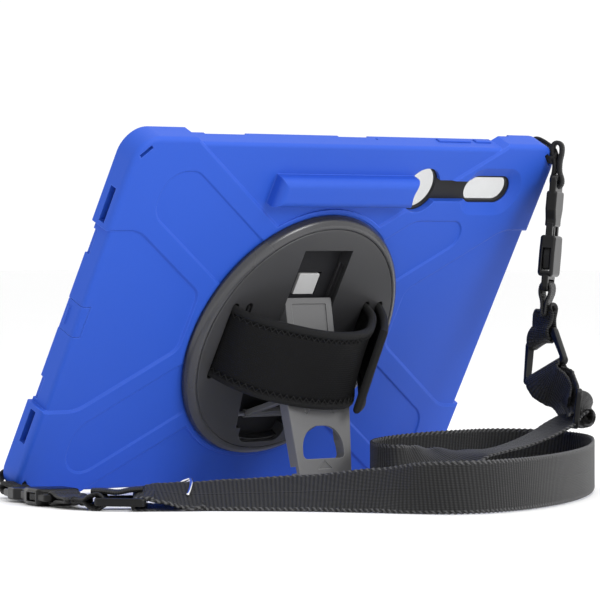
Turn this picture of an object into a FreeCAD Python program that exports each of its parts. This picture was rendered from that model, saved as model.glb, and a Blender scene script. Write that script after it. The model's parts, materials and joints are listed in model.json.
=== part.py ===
"""Rugged 14.6-inch-class tablet case: silicone cover over a two-part hard shell, a rotating
disc on its back with a hand strap and a folding kickstand, and a shoulder strap on its corners.

Case parts are drawn upright in case coordinates: u across the width, v up from the bottom edge,
w outward from the back face. Then the whole case is leaned back until its bottom bumper and the
foot of the open kickstand stand on z = 0. Shoulder strap parts are drawn where they lie.
"""
import FreeCAD, Part
import math
import os

V = FreeCAD.Vector
os.makedirs("parts", exist_ok=True)

# ---- tablet and case ----
CASE_W, CASE_H, CASE_T = 342.0, 228.8, 15.0
SIDE_STEP = 2.9            # the sides between the corner bumpers lie this far in
FIELD_STEP = 1.2           # the back between the raised bands lies this far in
CORNER_R, MID_CORNER_R = 16.0, 13.0
SHELL_W, SHELL_H, SHELL_R = 330.2, 212.4, 12.0
SHELL_BACK, SHELL_FLOOR, SHELL_WALL = -4.4, -6.6, 1.6
SHELL_FRONT = -12.4
FIT = 0.1                  # gap between parts that sit in each other
CASE_V = CASE_H / 2

# ---- raised cross on the back ----
CROSS_V = 113.2
BAND_ANGLE = math.radians(32.2)
BAND_HALF, PETAL_HALF = 30.2, 17.0
PETAL_DEPTH = 0.9
STEP_SLOPE = 1.25          # how far a step's face runs sideways for each mm of its height
TIP_U, PETAL_END_U = 85.0, 141.0

# ---- turning disc ----
HUB_V = 103.8
RING_R, RING_FOOT_R, FACE_R, LIP_R = 78.3, 75.0, 72.2, 67.4
FACE_W, LIP_TOP, LIP_BOTTOM = 6.5, 4.2, -1.4
HUB_HOLE_R = 75.2
BACK_PLATE_R = 69.5
RECESS_FLOOR = -1.6
TAB_FACE = -1.1
TAB_LOW_V = 129.6
TAB_HIGH_V = 143.0

# ---- kickstand linkage ----
PIN_W = 2.0                # all three pins lie this far out when the stand is closed
PIN_R, PIN_FIT = 1.5, 0.06
STRUT_PIN_V = 52.5
STRUT_L, LEG_PIN_GAP = 43.4, 52.6
STRUT_OPEN = math.radians(46.0)
LEG_L, LEG_TOP_GAP = 112.5, 3.0
FOOT_SPARE = 1.5           # drawn longer by this, then cut flat along the floor
LEG_INNER, LEG_OUTER = -0.2, 6.4
RECESS_HALF, RECESS_TOP, RECESS_LOW = 19.6, 162.0, 45.4
LEG_HALF = 18.8
STRUT_HALF, EYE_R = 14.8, 2.4
HOLLOW_W = 4.6             # depth of the leg's back, clear of the strut's eye

# ---- hand strap ----
SLOT_OUT, SLOT_IN, SLOT_W, SLOT_L = 58.6, 47.6, 5.0, 49.0
STRAP_W, STRAP_T = 46.0, 3.6

# ---- pen holder and camera window ----
PEN_V, PEN_W, PEN_R = 198.0, 1.3, 4.8
PEN_TUBE_HALF, PEN_TUBE_TOP = 9.3, 7.4
NOTCH_U, NOTCH_R = 66.0, 14.2
LENS_U0, LENS_U1, LENS_HALF = 113.0, 133.9, 8.9

# ---- openings in the rim ----
SLOT_CORNER_U, SLOT_CORNER_DV = 163.4, 105.8
PORT_V0, PORT_V1 = 103.6, 122.8
FLAP_HINGE_U = -162.0
VOLUME_U, POWER_U, BUTTON_W = (73.9, 101.4), (105.5, 118.9), (-12.4, -8.4)
SPEAKERS_V = ((33.2, 54.0), (173.2, 194.8))

# ---- shoulder strap ----
WEB_W, WEB_T = 28.0, 1.8
LINK_W, LINK_T, LINK_GAP = 16.0, 1.6, 3.2
RING_L = 28.0
BUCKLE_HALF, MALE_L, BUCKLE_L = 13.0, 36.0, 70.0
BUCKLE_BAR, RING_BAR = 68.3, 1.8    # from a part's end to the middle of its strap bar

# ---- worked out ----
LEG_OPEN = math.asin(STRUT_L * math.sin(STRUT_OPEN) / LEG_PIN_GAP)
KNEE_V = STRUT_PIN_V + STRUT_L
SLIDE_PIN_V = KNEE_V + LEG_PIN_GAP
LEG_TOP_V = SLIDE_PIN_V + LEG_TOP_GAP


def at(u, v, w):
    """Case coordinates to drawing coordinates, where the back faces -Y."""
    return V(u, -w, v)


def block(u0, u1, v0, v1, w0, w1):
    return Part.makeBox(u1 - u0, w1 - w0, v1 - v0, at(u0, v0, w1))


def drum(radius, w0, w1, u=0.0, v=HUB_V):
    """Cylinder square to the back face."""
    return Part.makeCylinder(radius, w1 - w0, at(u, v, w1), V(0, 1, 0))


def rod(radius, u0, u1, v, w):
    """Cylinder along the case's width."""
    return Part.makeCylinder(radius, u1 - u0, at(u0, v, w), V(1, 0, 0))


def joined(shapes):
    result = shapes[0]
    for shape in shapes[1:]:
        result = result.fuse(shape)
    return result.removeSplitter()


def side_by_side(shapes):
    return Part.makeCompound([shape.removeSplitter() for shape in shapes])


def corner_arc(before, corner, after, radius):
    """Tangent points and middle of the arc that rounds a corner."""
    one = (before - corner).normalize()
    two = (after - corner).normalize()
    half = one.getAngle(two) / 2
    reach = radius / math.tan(half)
    bisector = (one + two).normalize()
    centre = corner + bisector * (radius / math.sin(half))
    return corner + one * reach, centre - bisector * radius, corner + two * reach


def outline(corners, closed=True):
    """Wire through points given as (point, radius), each corner rounded to its radius."""
    count = len(corners)
    stretches = []
    for i, (point, radius) in enumerate(corners):
        inner = closed or 0 < i < count - 1
        if radius > 0 and inner:
            before = corners[i - 1][0]
            after = corners[(i + 1) % count][0]
            stretches.append(corner_arc(before, point, after, radius))
        else:
            stretches.append((point,))
    edges = []
    last = count if closed else count - 1
    for i in range(count):
        if len(stretches[i]) == 3:
            edges.append(Part.Arc(*stretches[i]).toShape())
        if i < last:
            start = stretches[i][-1]
            end = stretches[(i + 1) % count][0]
            if start.distanceToPoint(end) > 1e-6:
                edges.append(Part.LineSegment(start, end).toShape())
    return Part.Wire(edges)


def prism(corners, w0, w1):
    """Outline of (u, v, radius) corners, extruded from w0 to w1."""
    wire = outline([(at(u, v, w1), radius) for u, v, radius in corners])
    return Part.Face(wire).extrude(V(0, w1 - w0, 0))


def mirrored(corners):
    """Half outline of (u, v, radius) with u > 0, closed by its mirror image."""
    return corners + [(-u, v, radius) for u, v, radius in reversed(corners)]


def pill(u0, u1, v, half, w0, w1):
    return joined([drum(half, w0, w1, u0, v), drum(half, w0, w1, u1, v),
                   block(u0, u1, v - half, v + half, w0, w1)])


def sheet_of(width, height, radius, w0, w1, middle=CASE_V):
    """Rounded rectangle centred on the case."""
    x, y = width / 2, height / 2
    return prism(mirrored([(x, middle - y, radius), (x, middle + y, radius)]), w0, w1)


def fillet_where(shape, radius, wanted):
    edges = [edge for edge in shape.Edges if wanted(edge)]
    return shape.makeFillet(radius, edges)


def lies_at_w(w):
    def test(edge):
        box = edge.BoundBox
        return abs(box.YMin + w) < 1e-4 and abs(box.YMax + w) < 1e-4
    return test


# ------------------------------------------------------------------ silicone cover

def grown(corners, distance):
    """Closed outline of (u, v, radius) corners, moved outward by a distance."""
    area = sum(a[0] * b[1] - b[0] * a[1] for a, b in zip(corners, corners[1:] + corners[:1]))
    outward = 1 if area > 0 else -1
    result = []
    for before, here, after in zip(corners[-1:] + corners, corners, corners[1:] + corners[:1]):
        one, two = V(*here[:2]) - V(*before[:2]), V(*after[:2]) - V(*here[:2])
        one.normalize()
        two.normalize()
        normals = V(one.y, -one.x) + V(two.y, -two.x)
        shift = normals * (outward * distance / (1 + one.dot(two)))
        bulges = outward * one.cross(two).z > 0
        radius = here[2] + (distance if bulges else -distance) if here[2] > 0 else 0
        result.append((here[0] + shift.x, here[1] + shift.y, radius))
    return result


def sloped(corners, w0, w1):
    """Cutter whose outline widens from w0 up to the surface at w1, at a gentle slope."""
    over = 0.5
    grow = STEP_SLOPE * (w1 - w0 + over)
    wires = [outline([(at(u, v, w), radius) for u, v, radius in shape])
             for shape, w in ((corners, w0), (grown(corners, grow), w1 + over))]
    return Part.makeLoft(wires, True, True)


def side_field(sign, low, high):
    """Sunk area beside the disc between two bands, out past the case's edge."""
    slope, half = math.tan(BAND_ANGLE), BAND_HALF / math.cos(BAND_ANGLE)
    opening = TIP_U * slope - half
    corners = [(CASE_W, low, 0), ((CROSS_V - low + half) / slope, low, 22),
               (TIP_U, CROSS_V - opening, 9), (TIP_U, CROSS_V + opening, 9),
               ((high - CROSS_V + half) / slope, high, 22), (CASE_W, high, 0)]
    return [(sign * u, v, radius) for u, v, radius in corners]


def end_field(sign):
    """Sunk area above or below the disc between two bands, out past the case's edge."""
    slope, half = math.tan(BAND_ANGLE), BAND_HALF / math.cos(BAND_ANGLE)
    rise = CASE_H / 2 + 3.6
    far = (rise - half) / slope
    corners = [(far, CASE_H, 0), (far, rise, 0), (0, half, 0), (-far, rise, 0), (-far, CASE_H, 0)]
    return [(u, CROSS_V + sign * v, radius) for u, v, radius in corners]


def petal(side, end, limit):
    """Sunk panel along the middle of a band, from the disc to a rounded outer end."""
    slope, half = math.tan(BAND_ANGLE), PETAL_HALF / math.cos(BAND_ANGLE)
    rise = abs(limit - CROSS_V)
    lower_v = PETAL_END_U * slope - half
    corners = [(0, half, 0), ((rise - half) / slope, rise, 14)]
    if lower_v < rise:
        corners += [(PETAL_END_U, rise, 15), (PETAL_END_U, lower_v, 16)]
    else:
        corners += [((rise + half) / slope, rise, 9)]
    corners.append((0, -half, 0))
    return [(side * u, CROSS_V + end * v, radius) for u, v, radius in corners]


def pen_tube():
    body = block(-56.5, 56.0, PEN_V - PEN_TUBE_HALF, PEN_V + PEN_TUBE_HALF, -1.5, PEN_TUBE_TOP)
    body = fillet_where(body, 5.0, lambda e: lies_at_w(PEN_TUBE_TOP)(e)
                        and e.BoundBox.XMin < 55)
    return body.cut(drum(NOTCH_R, -8, 12, NOTCH_U, PEN_V))


def camera_window(w0, w1, spare=0.0):
    """Finger notch, pen channel and lens pill, as one through opening."""
    channel = block(NOTCH_U, LENS_U0, PEN_V - 6.7 - spare, PEN_V + 6.7 + spare, w0, w1)
    return joined([drum(NOTCH_R + spare, w0, w1, NOTCH_U, PEN_V), channel,
                   pill(LENS_U0, LENS_U1, PEN_V, LENS_HALF + spare, w0, w1)])


def window_bevel():
    """Sloping rim sunk round the lens pill."""
    def ring(half, w):
        u0, u1 = LENS_U0 + 2, LENS_U1
        return outline([(at(u0 - half, PEN_V - half, w), half * 0.98),
                        (at(u1 + half, PEN_V - half, w), half * 0.98),
                        (at(u1 + half, PEN_V + half, w), half * 0.98),
                        (at(u0 - half, PEN_V + half, w), half * 0.98)])
    return Part.makeLoft([ring(LENS_HALF + 7.0, 0.2), ring(LENS_HALF, -3.4)], True, True)


def corner_slots():
    """Slots for the strap loops, square to each corner's diagonal."""
    slots = []
    for su, sv in ((-1, -1), (1, -1), (-1, 1), (1, 1)):
        middle = at(su * SLOT_CORNER_U, CASE_V + sv * SLOT_CORNER_DV, 0)
        slot = Part.makeBox(9.0, CASE_T + 6, 2.6, V(-4.5, -3, -1.3))
        slot.rotate(V(0, 0, 0), V(0, 1, 0), 45 * su * sv)
        slot.translate(middle)
        slots.append(slot)
    return slots


def side_openings(spare):
    """Speaker slots in both sides."""
    cuts = []
    for v0, v1 in SPEAKERS_V:
        for sign in (-1, 1):
            u0, u1 = sorted((sign * 150, sign * 175))
            cuts.append(block(u0, u1, v0 - spare, v1 + spare, -9.8 - spare, -5.2 + spare))
    return cuts


def silicone_cover():
    middle = sheet_of(CASE_W - 2 * SIDE_STEP, CASE_H - 2 * SIDE_STEP, MID_CORNER_R,
                      -CASE_T + 1, -FIELD_STEP)
    middle = fillet_where(middle, 2.2, lies_at_w(-FIELD_STEP))
    cross = sheet_of(CASE_W, CASE_H, CORNER_R, -CASE_T, 0)
    cross = fillet_where(cross, 3.0, lies_at_w(0))
    cross = fillet_where(cross, 1.0, lies_at_w(-CASE_T))
    for field in (side_field(-1, 57.0, 170.5), side_field(1, 52.0, 171.5), end_field(1),
                  end_field(-1)):
        cross = cross.cut(prism(field, -CASE_T - 1, -FIELD_STEP))
        cross = cross.cut(sloped(field, -FIELD_STEP, 0))
    rim = drum(RING_R + 3.2, -FIELD_STEP - 1, 0.0)
    cover = joined([cross, middle, rim, pen_tube()])
    cuts = corner_slots() + side_openings(0)
    for side, end, limit in ((-1, 1, 208.0), (1, 1, 177.5), (-1, -1, 16.5), (1, -1, 16.5)):
        cuts.append(sloped(petal(side, end, limit), -PETAL_DEPTH, 0))
    cuts.append(drum(RING_R + 0.8, -0.4, 3))
    cuts.append(drum(HUB_HOLE_R, -CASE_T, 3))
    cuts.append(sheet_of(SHELL_W + 2 * FIT, SHELL_H + 2 * FIT, SHELL_R, -CASE_T - 1,
                         SHELL_BACK + FIT))
    cuts += [camera_window(-CASE_T, 3), window_bevel()]
    cuts.append(rod(PEN_R, -50.0, NOTCH_U, PEN_V, PEN_W))
    cuts.append(block(-170, FLAP_HINGE_U, PORT_V0, PORT_V1, -CASE_T, 1))
    for u0, u1 in (VOLUME_U, POWER_U):
        cuts.append(block(u0, u1, 220, 230, BUTTON_W[0], BUTTON_W[1]))
    for u0, u1 in ((-111.5, -79.6), (-6.0, 18.0), (121.5, 137.0)):
        cuts.append(block(u0, u1, 221.5, 230, -CASE_T, -12.6))
    for v0, v1 in ((59.5, 73.0), (151.0, 166.0)):
        cuts.append(block(-172, -166.5, v0, v1, -CASE_T, -10.5))
    cuts.append(Part.makeCylinder(1.0, 12, at(23.5, 218, -10.8), V(0, 0, 1)))
    for cut in cuts:
        cover = cover.cut(cut)
    return cover


def port_flap():
    """Flap over the charging port: wraps the edge and bends at a line on the back."""
    gap = 0.3
    v0, v1 = PORT_V0 + gap, PORT_V1 - gap
    outer = CASE_W / 2 - SIDE_STEP
    corners = [(V(-outer, 13.6, v0), 0), (V(-outer, FIELD_STEP, v0), 2.4),
               (V(FLAP_HINGE_U - gap, FIELD_STEP, v0), 0), (V(FLAP_HINGE_U - gap, 3.6, v0), 0),
               (V(-outer + 2.7, 3.6, v0), 0.8), (V(-outer + 2.7, 13.6, v0), 0)]
    skin = Part.Face(outline(corners)).extrude(V(0, 0, v1 - v0))
    plug = block(-165.6, -163.9, 108.6, 117.8, -10.8, -8.2)
    ridge = block(-outer - 0.8, -outer + 0.5, 107.6, 118.8, -11.6, -10.2)
    return joined([skin, plug, ridge])


def key_cover(span):
    u0, u1 = span
    gap = 0.25
    w0, w1 = BUTTON_W
    body = block(u0 + gap, u1 - gap, 219.3, 226.9, w0 + gap, w1 - gap)
    return fillet_where(body, 0.6, lambda e: e.BoundBox.ZMin > 226.8)


# ------------------------------------------------------------------ hard shell and frame

def back_shell():
    tray = sheet_of(SHELL_W, SHELL_H, SHELL_R, SHELL_FRONT, SHELL_BACK)
    tray = tray.cut(sheet_of(SHELL_W - 2 * SHELL_WALL, SHELL_H - 2 * SHELL_WALL,
                             SHELL_R - SHELL_WALL, SHELL_FRONT - 1, SHELL_FLOOR))
    cuts = side_openings(0.6)
    cuts.append(drum(NOTCH_R - 1.0, -8, -3, NOTCH_U, PEN_V))
    cuts.append(pill(LENS_U0, LENS_U1, PEN_V, LENS_HALF - 1.4, -8, -3))
    cuts.append(block(-166, -160, 107.6, 118.8, -12.0, -6.7))
    for u0, u1 in (VOLUME_U, POWER_U):
        cuts.append(block(u0 - 0.5, u1 + 0.5, 216, 222, -12.6, -7.4))
    cuts.append(Part.makeCylinder(1.2, 12, at(23.5, 214, -10.8), V(0, 0, 1)))
    for u, v in ring_screw_places():
        cuts.append(drum(1.1, -8, -4, u, v))
        cuts.append(drum(2.2, -7, -5.3, u, v))
    for cut in cuts:
        tray = tray.cut(cut)
    return tray


def front_frame():
    """Bezel over the tablet's edge, with tabs that press down inside the shell's walls."""
    ring = sheet_of(SHELL_W, SHELL_H, SHELL_R, -CASE_T + 1.0, SHELL_FRONT - 0.1)
    ring = ring.cut(sheet_of(314.0, 196.0, 6.0, -CASE_T, SHELL_FRONT + 1))
    ring = ring.cut(sheet_of(322.2, 204.2, 8.2, -12.95, SHELL_FRONT + 1))
    inner_u, inner_v = SHELL_W / 2 - SHELL_WALL - 0.15, SHELL_H / 2 - SHELL_WALL - 0.15
    tabs = []
    for u in (-105, -35, 45, 130):
        for sign in (-1, 1):
            v0, v1 = sorted((CASE_V + sign * inner_v, CASE_V + sign * (inner_v - 1.0)))
            tabs.append(block(u - 6, u + 6, v0, v1, -12.6, -10.2))
    for v in (75, 150):
        for sign in (-1, 1):
            u0, u1 = sorted((sign * inner_u, sign * (inner_u - 1.0)))
            tabs.append(block(u0, u1, v - 5, v + 5, -12.6, -10.2))
    return joined([ring] + tabs)


def screen_film():
    return sheet_of(322.0, 204.0, 8.0, -12.95, -12.55)


# ------------------------------------------------------------------ disc

def around(radius, angles):
    return [(radius * math.cos(math.radians(a)), HUB_V + radius * math.sin(math.radians(a)))
            for a in angles]


def ring_screw_places():
    return around(72.5, range(0, 360, 60))


def plate_screw_places():
    return around(64.0, (35, 68, 112, 145, 215, 325))


def base_ring():
    """Fixed ring: its foot stands on the shell, its lip holds the turning disc down."""
    profile = [(LIP_R, LIP_BOTTOM), (69.9, LIP_BOTTOM), (69.9, SHELL_BACK),
               (RING_FOOT_R, SHELL_BACK), (RING_FOOT_R, 0.05), (RING_R, 0.05), (RING_R, 1.6),
               (77.0, 4.4), (74.6, 6.0), (73.4, 6.4), (FACE_R, 6.4), (FACE_R, LIP_TOP),
               (LIP_R, LIP_TOP)]
    radii = [0, 0, 0, 0, 0, 0, 1.0, 3.0, 2.0, 0, 0, 0, 0]
    wire = outline([(at(r, HUB_V, w), round_r) for (r, w), round_r in zip(profile, radii)])
    ring = Part.Face(wire).revolve(at(0, HUB_V, 0), V(0, 1, 0), 360)
    for u, v in ring_screw_places():
        ring = ring.cut(drum(1.05, -5, 0.0, u, v))
    return ring


def ring_screws():
    return side_by_side([drum(1.0, -5.5, -0.2, u, v).fuse(drum(2.0, -6.5, -5.4, u, v))
                         for u, v in ring_screw_places()])


def plate_screws():
    return side_by_side([drum(1.0, -3.0, 3.0, u, v).fuse(drum(1.9, -3.8, -2.9, u, v))
                         for u, v in plate_screw_places()])


def slip_washer():
    return drum(69.0, SHELL_BACK, SHELL_BACK + 0.4).cut(drum(58.0, -6, 0))


def recess(w0, w1):
    """Well for the folded kickstand, with the finger scoop at its lower end."""
    half = [(21.8, RECESS_LOW, 0), (28.2, 75.0, 0), (28.2, 112.0, 1.5), (RECESS_HALF, 116.0, 0),
            (RECESS_HALF, RECESS_TOP, 0.6)]
    well = prism(mirrored(half), w0, w1)
    scoop = prism(mirrored([(18.1, 35.6, 8), (18.1, 60.0, 0)]), w0, w1)
    return joined([well, scoop])


def strap_slots(w0, w1):
    slots = []
    v0, v1 = HUB_V - SLOT_L / 2, HUB_V + SLOT_L / 2
    for sign in (-1, 1):
        for middle in (SLOT_OUT, SLOT_IN):
            half = SLOT_W / 2
            u = sign * middle
            slots.append(joined([block(u - half, u + half, v0 + half, v1 - half, w0, w1),
                                 drum(half, w0, w1, u, v0 + half),
                                 drum(half, w0, w1, u, v1 - half)]))
    return slots


def rotor_cover():
    """Face of the turning disc."""
    disc = drum(FACE_R - 0.3, LIP_TOP + 0.1, FACE_W)
    disc = fillet_where(disc, 0.5, lies_at_w(FACE_W))
    neck = drum(LIP_R - 0.4, RECESS_FLOOR, LIP_TOP + 0.5)
    body = joined([disc, neck])
    cuts = [recess(RECESS_FLOOR - 1, FACE_W + 1)] + strap_slots(RECESS_FLOOR - 1, FACE_W + 1)
    for sign in (-1, 1):
        u0, u1 = sorted((sign * (SLOT_IN - SLOT_W / 2), sign * (SLOT_OUT + SLOT_W / 2)))
        cuts.append(block(u0, u1, HUB_V - 23.4, HUB_V + 23.4, RECESS_FLOOR - 1, 2.4))
        u0, u1 = sorted((sign * (RECESS_HALF - 1), sign * (RECESS_HALF + 2.8)))
        cuts.append(block(u0, u1, 122.6, 151.0, 0.2, 5.0))
    cuts.append(rod(PIN_R + 0.02, -26.0, 26.0, STRUT_PIN_V, PIN_W))
    for u, v in plate_screw_places():
        cuts.append(drum(1.05, -2, 3.2, u, v))
    for cut in cuts:
        body = body.cut(cut)
    return body


def rotor_plate():
    """Floor of the turning disc, trapped under the ring's lip."""
    plate = drum(BACK_PLATE_R, SHELL_BACK + 0.45, RECESS_FLOOR)
    cuts = [block(-9.4, 9.4, TAB_LOW_V - 0.6, TAB_HIGH_V + 0.8, -6, 0)]
    for sign in (-1, 1):
        u0, u1 = sorted((sign * (SLOT_IN - SLOT_W / 2), sign * (SLOT_OUT + SLOT_W / 2)))
        cuts.append(block(u0, u1, HUB_V - 23.4, HUB_V + 23.4, -2.4, 0))
    for u, v in plate_screw_places():
        cuts.append(drum(1.1, -5, 0, u, v))
        cuts.append(drum(2.1, -5, -2.8, u, v))
    for cut in cuts:
        plate = plate.cut(cut)
    return plate


def release_tab():
    """Push tab that frees the leg's sliding pin."""
    tab = prism(mirrored([(8.2, TAB_LOW_V, 0.5), (8.2, TAB_HIGH_V, 1.2)]), -3.0, TAB_FACE)
    return fillet_where(tab, 0.4, lies_at_w(TAB_FACE))


def tab_spring():
    """Flat bow spring under the release tab."""
    ends = (TAB_LOW_V + 1.9, TAB_HIGH_V - 1.9)
    bow = [(V(0, 3.9, ends[0]), 0), (V(0, 3.1, sum(ends) / 2), 20), (V(0, 3.9, ends[1]), 0)]
    path = outline(bow, closed=False)
    strip = path.extrude(V(4.0, 0, 0))
    strip.translate(V(-2.0, 0, 0))
    return strip.makeOffsetShape(0.25, 1e-3, fill=True)


# ------------------------------------------------------------------ kickstand, drawn closed

def leg():
    """Kickstand leg: framed head, shoulders, tapering plate with a D-shaped hole."""
    top = LEG_TOP_V
    end = top - LEG_L - FOOT_SPARE
    half = [(15.0, end, 4), (17.3, end + 5.0, 4), (17.3, top - 106.0, 0),
            (20.8, top - 105.5, 0.5), (26.8, top - 46.0, 3), (LEG_HALF, top - 40.0, 3),
            (LEG_HALF, top, 0.8)]
    body = prism(mirrored(half), LEG_INNER, LEG_OUTER)
    body = fillet_where(body, 0.5, lies_at_w(LEG_OUTER))
    hollow = prism(mirrored([(15.6, top - 106.5, 1), (15.6, top - 49.0, 1)]),
                   LEG_INNER - 1, HOLLOW_W)
    head = prism(mirrored([(15.0, top - 41.0, 1), (15.0, top - 7.5, 1)]), LEG_INNER - 1, 3.6)
    panel = prism(mirrored([(13.4, top - 38.0, 0.8), (14.0, top - 3.6, 0.8)]), 5.6, 7)
    cuts = [hollow, head, panel, d_hole(top), arrow(top), *v_marks(top)]
    cuts.append(rod(PIN_R + PIN_FIT, -LEG_HALF - 1, LEG_HALF + 1, SLIDE_PIN_V, PIN_W))
    cuts.append(rod(PIN_R + 0.02, -20.0, 20.0, KNEE_V, PIN_W))
    cuts.append(block(-30, 30, STRUT_PIN_V - 2.0, STRUT_PIN_V + 2.0, LEG_INNER - 1, 4.0))
    heel = block(-30, 30, SLIDE_PIN_V, top + 1, LEG_INNER - 1, PIN_W)
    cuts.append(heel.cut(rod(LEG_TOP_GAP - 0.1, -31, 31, SLIDE_PIN_V, PIN_W)))
    for cut in cuts:
        body = body.cut(cut)
    return body


def d_hole(top):
    """Finger hole: straight below, arched above."""
    low, high, half = top - 93.4, top - 74.4, 16.9
    wire = outline([(at(-half, low, 8), 3.0), (at(half, low, 8), 3.0),
                    (at(half * 0.96, high, 8), 14.0), (at(-half * 0.96, high, 8), 14.0)])
    return Part.Face(wire).extrude(V(0, 12, 0))


def arrow(top):
    low = top - 99.4
    wire = outline([(at(-5.8, low, 7), 0), (at(5.8, low, 7), 0), (at(0, low + 5.0, 7), 0)])
    return Part.Face(wire).extrude(V(0, 1.2, 0))


def v_marks(top):
    """Two small V grooves under the hand strap's lower edge."""
    marks = []
    for sign in (-1, 1):
        tip, width = 7.2, 0.9
        corners = [(at(sign * 12.6, top - 62, 7), 0), (at(sign * 11.4, top - 68.5, 7), 0.8),
                   (at(sign * (tip - 1), top - 62, 7), 0)]
        line = outline(corners, closed=False)
        for edge in line.Edges:
            a, b = edge.Vertexes[0].Point, edge.Vertexes[-1].Point
            side = (b - a).normalize().cross(V(0, 1, 0)) * (width / 2)
            wire = Part.makePolygon([a + side, b + side, b - side, a - side, a + side])
            marks.append(Part.Face(wire).extrude(V(0, 1.0, 0)))
    return marks


def strut():
    """Brace from the disc to the middle of the leg."""
    plate = block(-STRUT_HALF, STRUT_HALF, STRUT_PIN_V, KNEE_V, 0.6, 3.4)
    eyes = [rod(EYE_R, -STRUT_HALF, STRUT_HALF, v, PIN_W) for v in (STRUT_PIN_V, KNEE_V)]
    body = joined([plate] + eyes)
    window = block(-9.5, 9.5, STRUT_PIN_V + 8, KNEE_V - 8, 0, 4)
    bores = [rod(PIN_R + PIN_FIT, -16, 16, v, PIN_W) for v in (STRUT_PIN_V, KNEE_V)]
    for cut in [window] + bores:
        body = body.cut(cut)
    return body


def opened(shape, role):
    """Moves a closed kickstand part to its place when the stand is open."""
    strut_turn = math.degrees(STRUT_OPEN)
    leg_turn = math.degrees(LEG_OPEN)
    knee_closed = at(0, KNEE_V, PIN_W)
    knee_open = at(0, STRUT_PIN_V + STRUT_L * math.cos(STRUT_OPEN),
                   PIN_W + STRUT_L * math.sin(STRUT_OPEN))
    moved = shape.copy()
    if role == "strut":
        moved.rotate(at(0, STRUT_PIN_V, PIN_W), V(1, 0, 0), strut_turn)
    else:
        moved.rotate(knee_closed, V(1, 0, 0), -leg_turn)
        moved.translate(knee_open - knee_closed)
    return moved


# ------------------------------------------------------------------ hand strap

def strap_line(low):
    """Middle line (u, w, radius) of the hand strap along its upper or its lower edge."""
    crown = [(-33.0, 40.0, 16), (-6.0, 47.2, 60), (27.5, 45.6, 18)]
    outer = [(SLOT_OUT, 9.6, 6), (61.5, 24.0, 10), (53.0, 38.5, 12), (33.5, 51.5, 0)]
    if not low:
        crown = [(-32.0, 28.6, 26), (-9.0, 40.4, 30), (25.0, 36.6, 24)]
        outer = [(SLOT_OUT, 9.6, 6), (60.5, 18.0, 10), (54.0, 28.0, 12), (37.0, 41.0, 0)]
    return ([(-SLOT_IN, 7.0, 0), (-SLOT_IN, 0.0, 2.6), (-SLOT_OUT, 0.0, 2.6),
             (-SLOT_OUT, 9.6, 6)] + crown
            + [(48.6, 16.0, 14), (SLOT_IN, 0.0, 2.6), (SLOT_OUT, 0.0, 2.6)] + outer)


def ribbon_wire(corners, thickness, to_point):
    """Outline of a band of even thickness along a line with rounded corners."""
    sides = []
    for sign in (-1, 1):
        side = []
        count = len(corners)
        for i, (a, b, radius) in enumerate(corners):
            before = corners[max(i - 1, 0)]
            after = corners[min(i + 1, count - 1)]
            normals = []
            for start, end in ((before, corners[i]), (corners[i], after)):
                da, db = end[0] - start[0], end[1] - start[1]
                length = math.hypot(da, db)
                if length > 1e-9:
                    normals.append((-db / length, da / length))
            if len(normals) == 1:
                normals.append(normals[0])
            na, nb = normals[0][0] + normals[1][0], normals[0][1] + normals[1][1]
            square = 1 + normals[0][0] * normals[1][0] + normals[0][1] * normals[1][1]
            shift = sign * thickness / 2
            turn = normals[0][0] * normals[1][1] - normals[0][1] * normals[1][0]
            grown = radius - shift * (1 if turn > 0 else -1) if radius > 0 else 0
            side.append((a + shift * na / square, b + shift * nb / square, grown))
        sides.append(side)
    one = outline([(to_point(a, b), r) for a, b, r in sides[0]], closed=False)
    two = outline([(to_point(a, b), r) for a, b, r in sides[1]], closed=False)
    caps = []
    for end in (0, -1):
        caps.append(Part.LineSegment(to_point(*sides[0][end][:2]),
                                     to_point(*sides[1][end][:2])).toShape())
    return Part.Wire(Part.__sortEdges__(one.Edges + two.Edges + caps))


def hand_strap():
    """Padded strap: sewn round the left bar, over the disc, round the right bar and back."""
    edges = []
    for low, v in ((True, HUB_V - STRAP_W / 2), (False, HUB_V + STRAP_W / 2)):
        edges.append(ribbon_wire(strap_line(low), STRAP_T, lambda a, b, v=v: at(a, v, b)))
    return Part.makeLoft(edges, True, True)


# ------------------------------------------------------------------ shoulder strap

def set_down(shape, origin, width_axis, length_axis):
    """Places a part drawn with width on X, thickness on Y and length on Z."""
    length = V(length_axis).normalize()
    thick = length.cross(width_axis).normalize()
    width = thick.cross(length)
    matrix = FreeCAD.Matrix(width.x, thick.x, length.x, origin.x,
                            width.y, thick.y, length.y, origin.y,
                            width.z, thick.z, length.z, origin.z, 0, 0, 0, 1)
    placed = shape.copy()
    placed.Placement = FreeCAD.Placement(matrix).multiply(shape.Placement)
    return placed


def bar_plate(corners, thickness, radius=0.6):
    """Flat plate from an (x, z) outline, with its faces' edges eased."""
    wire = outline([(V(x, -thickness / 2, z), r) for x, z, r in corners])
    plate = Part.Face(wire).extrude(V(0, thickness, 0))
    rims = [e for e in plate.Edges if e.BoundBox.YLength < 1e-4]
    return plate.makeFillet(radius, rims)


def slot_cut(half, z0, z1):
    return Part.makeBox(2 * half, 20, z1 - z0, V(-half, -10, z0))


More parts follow.
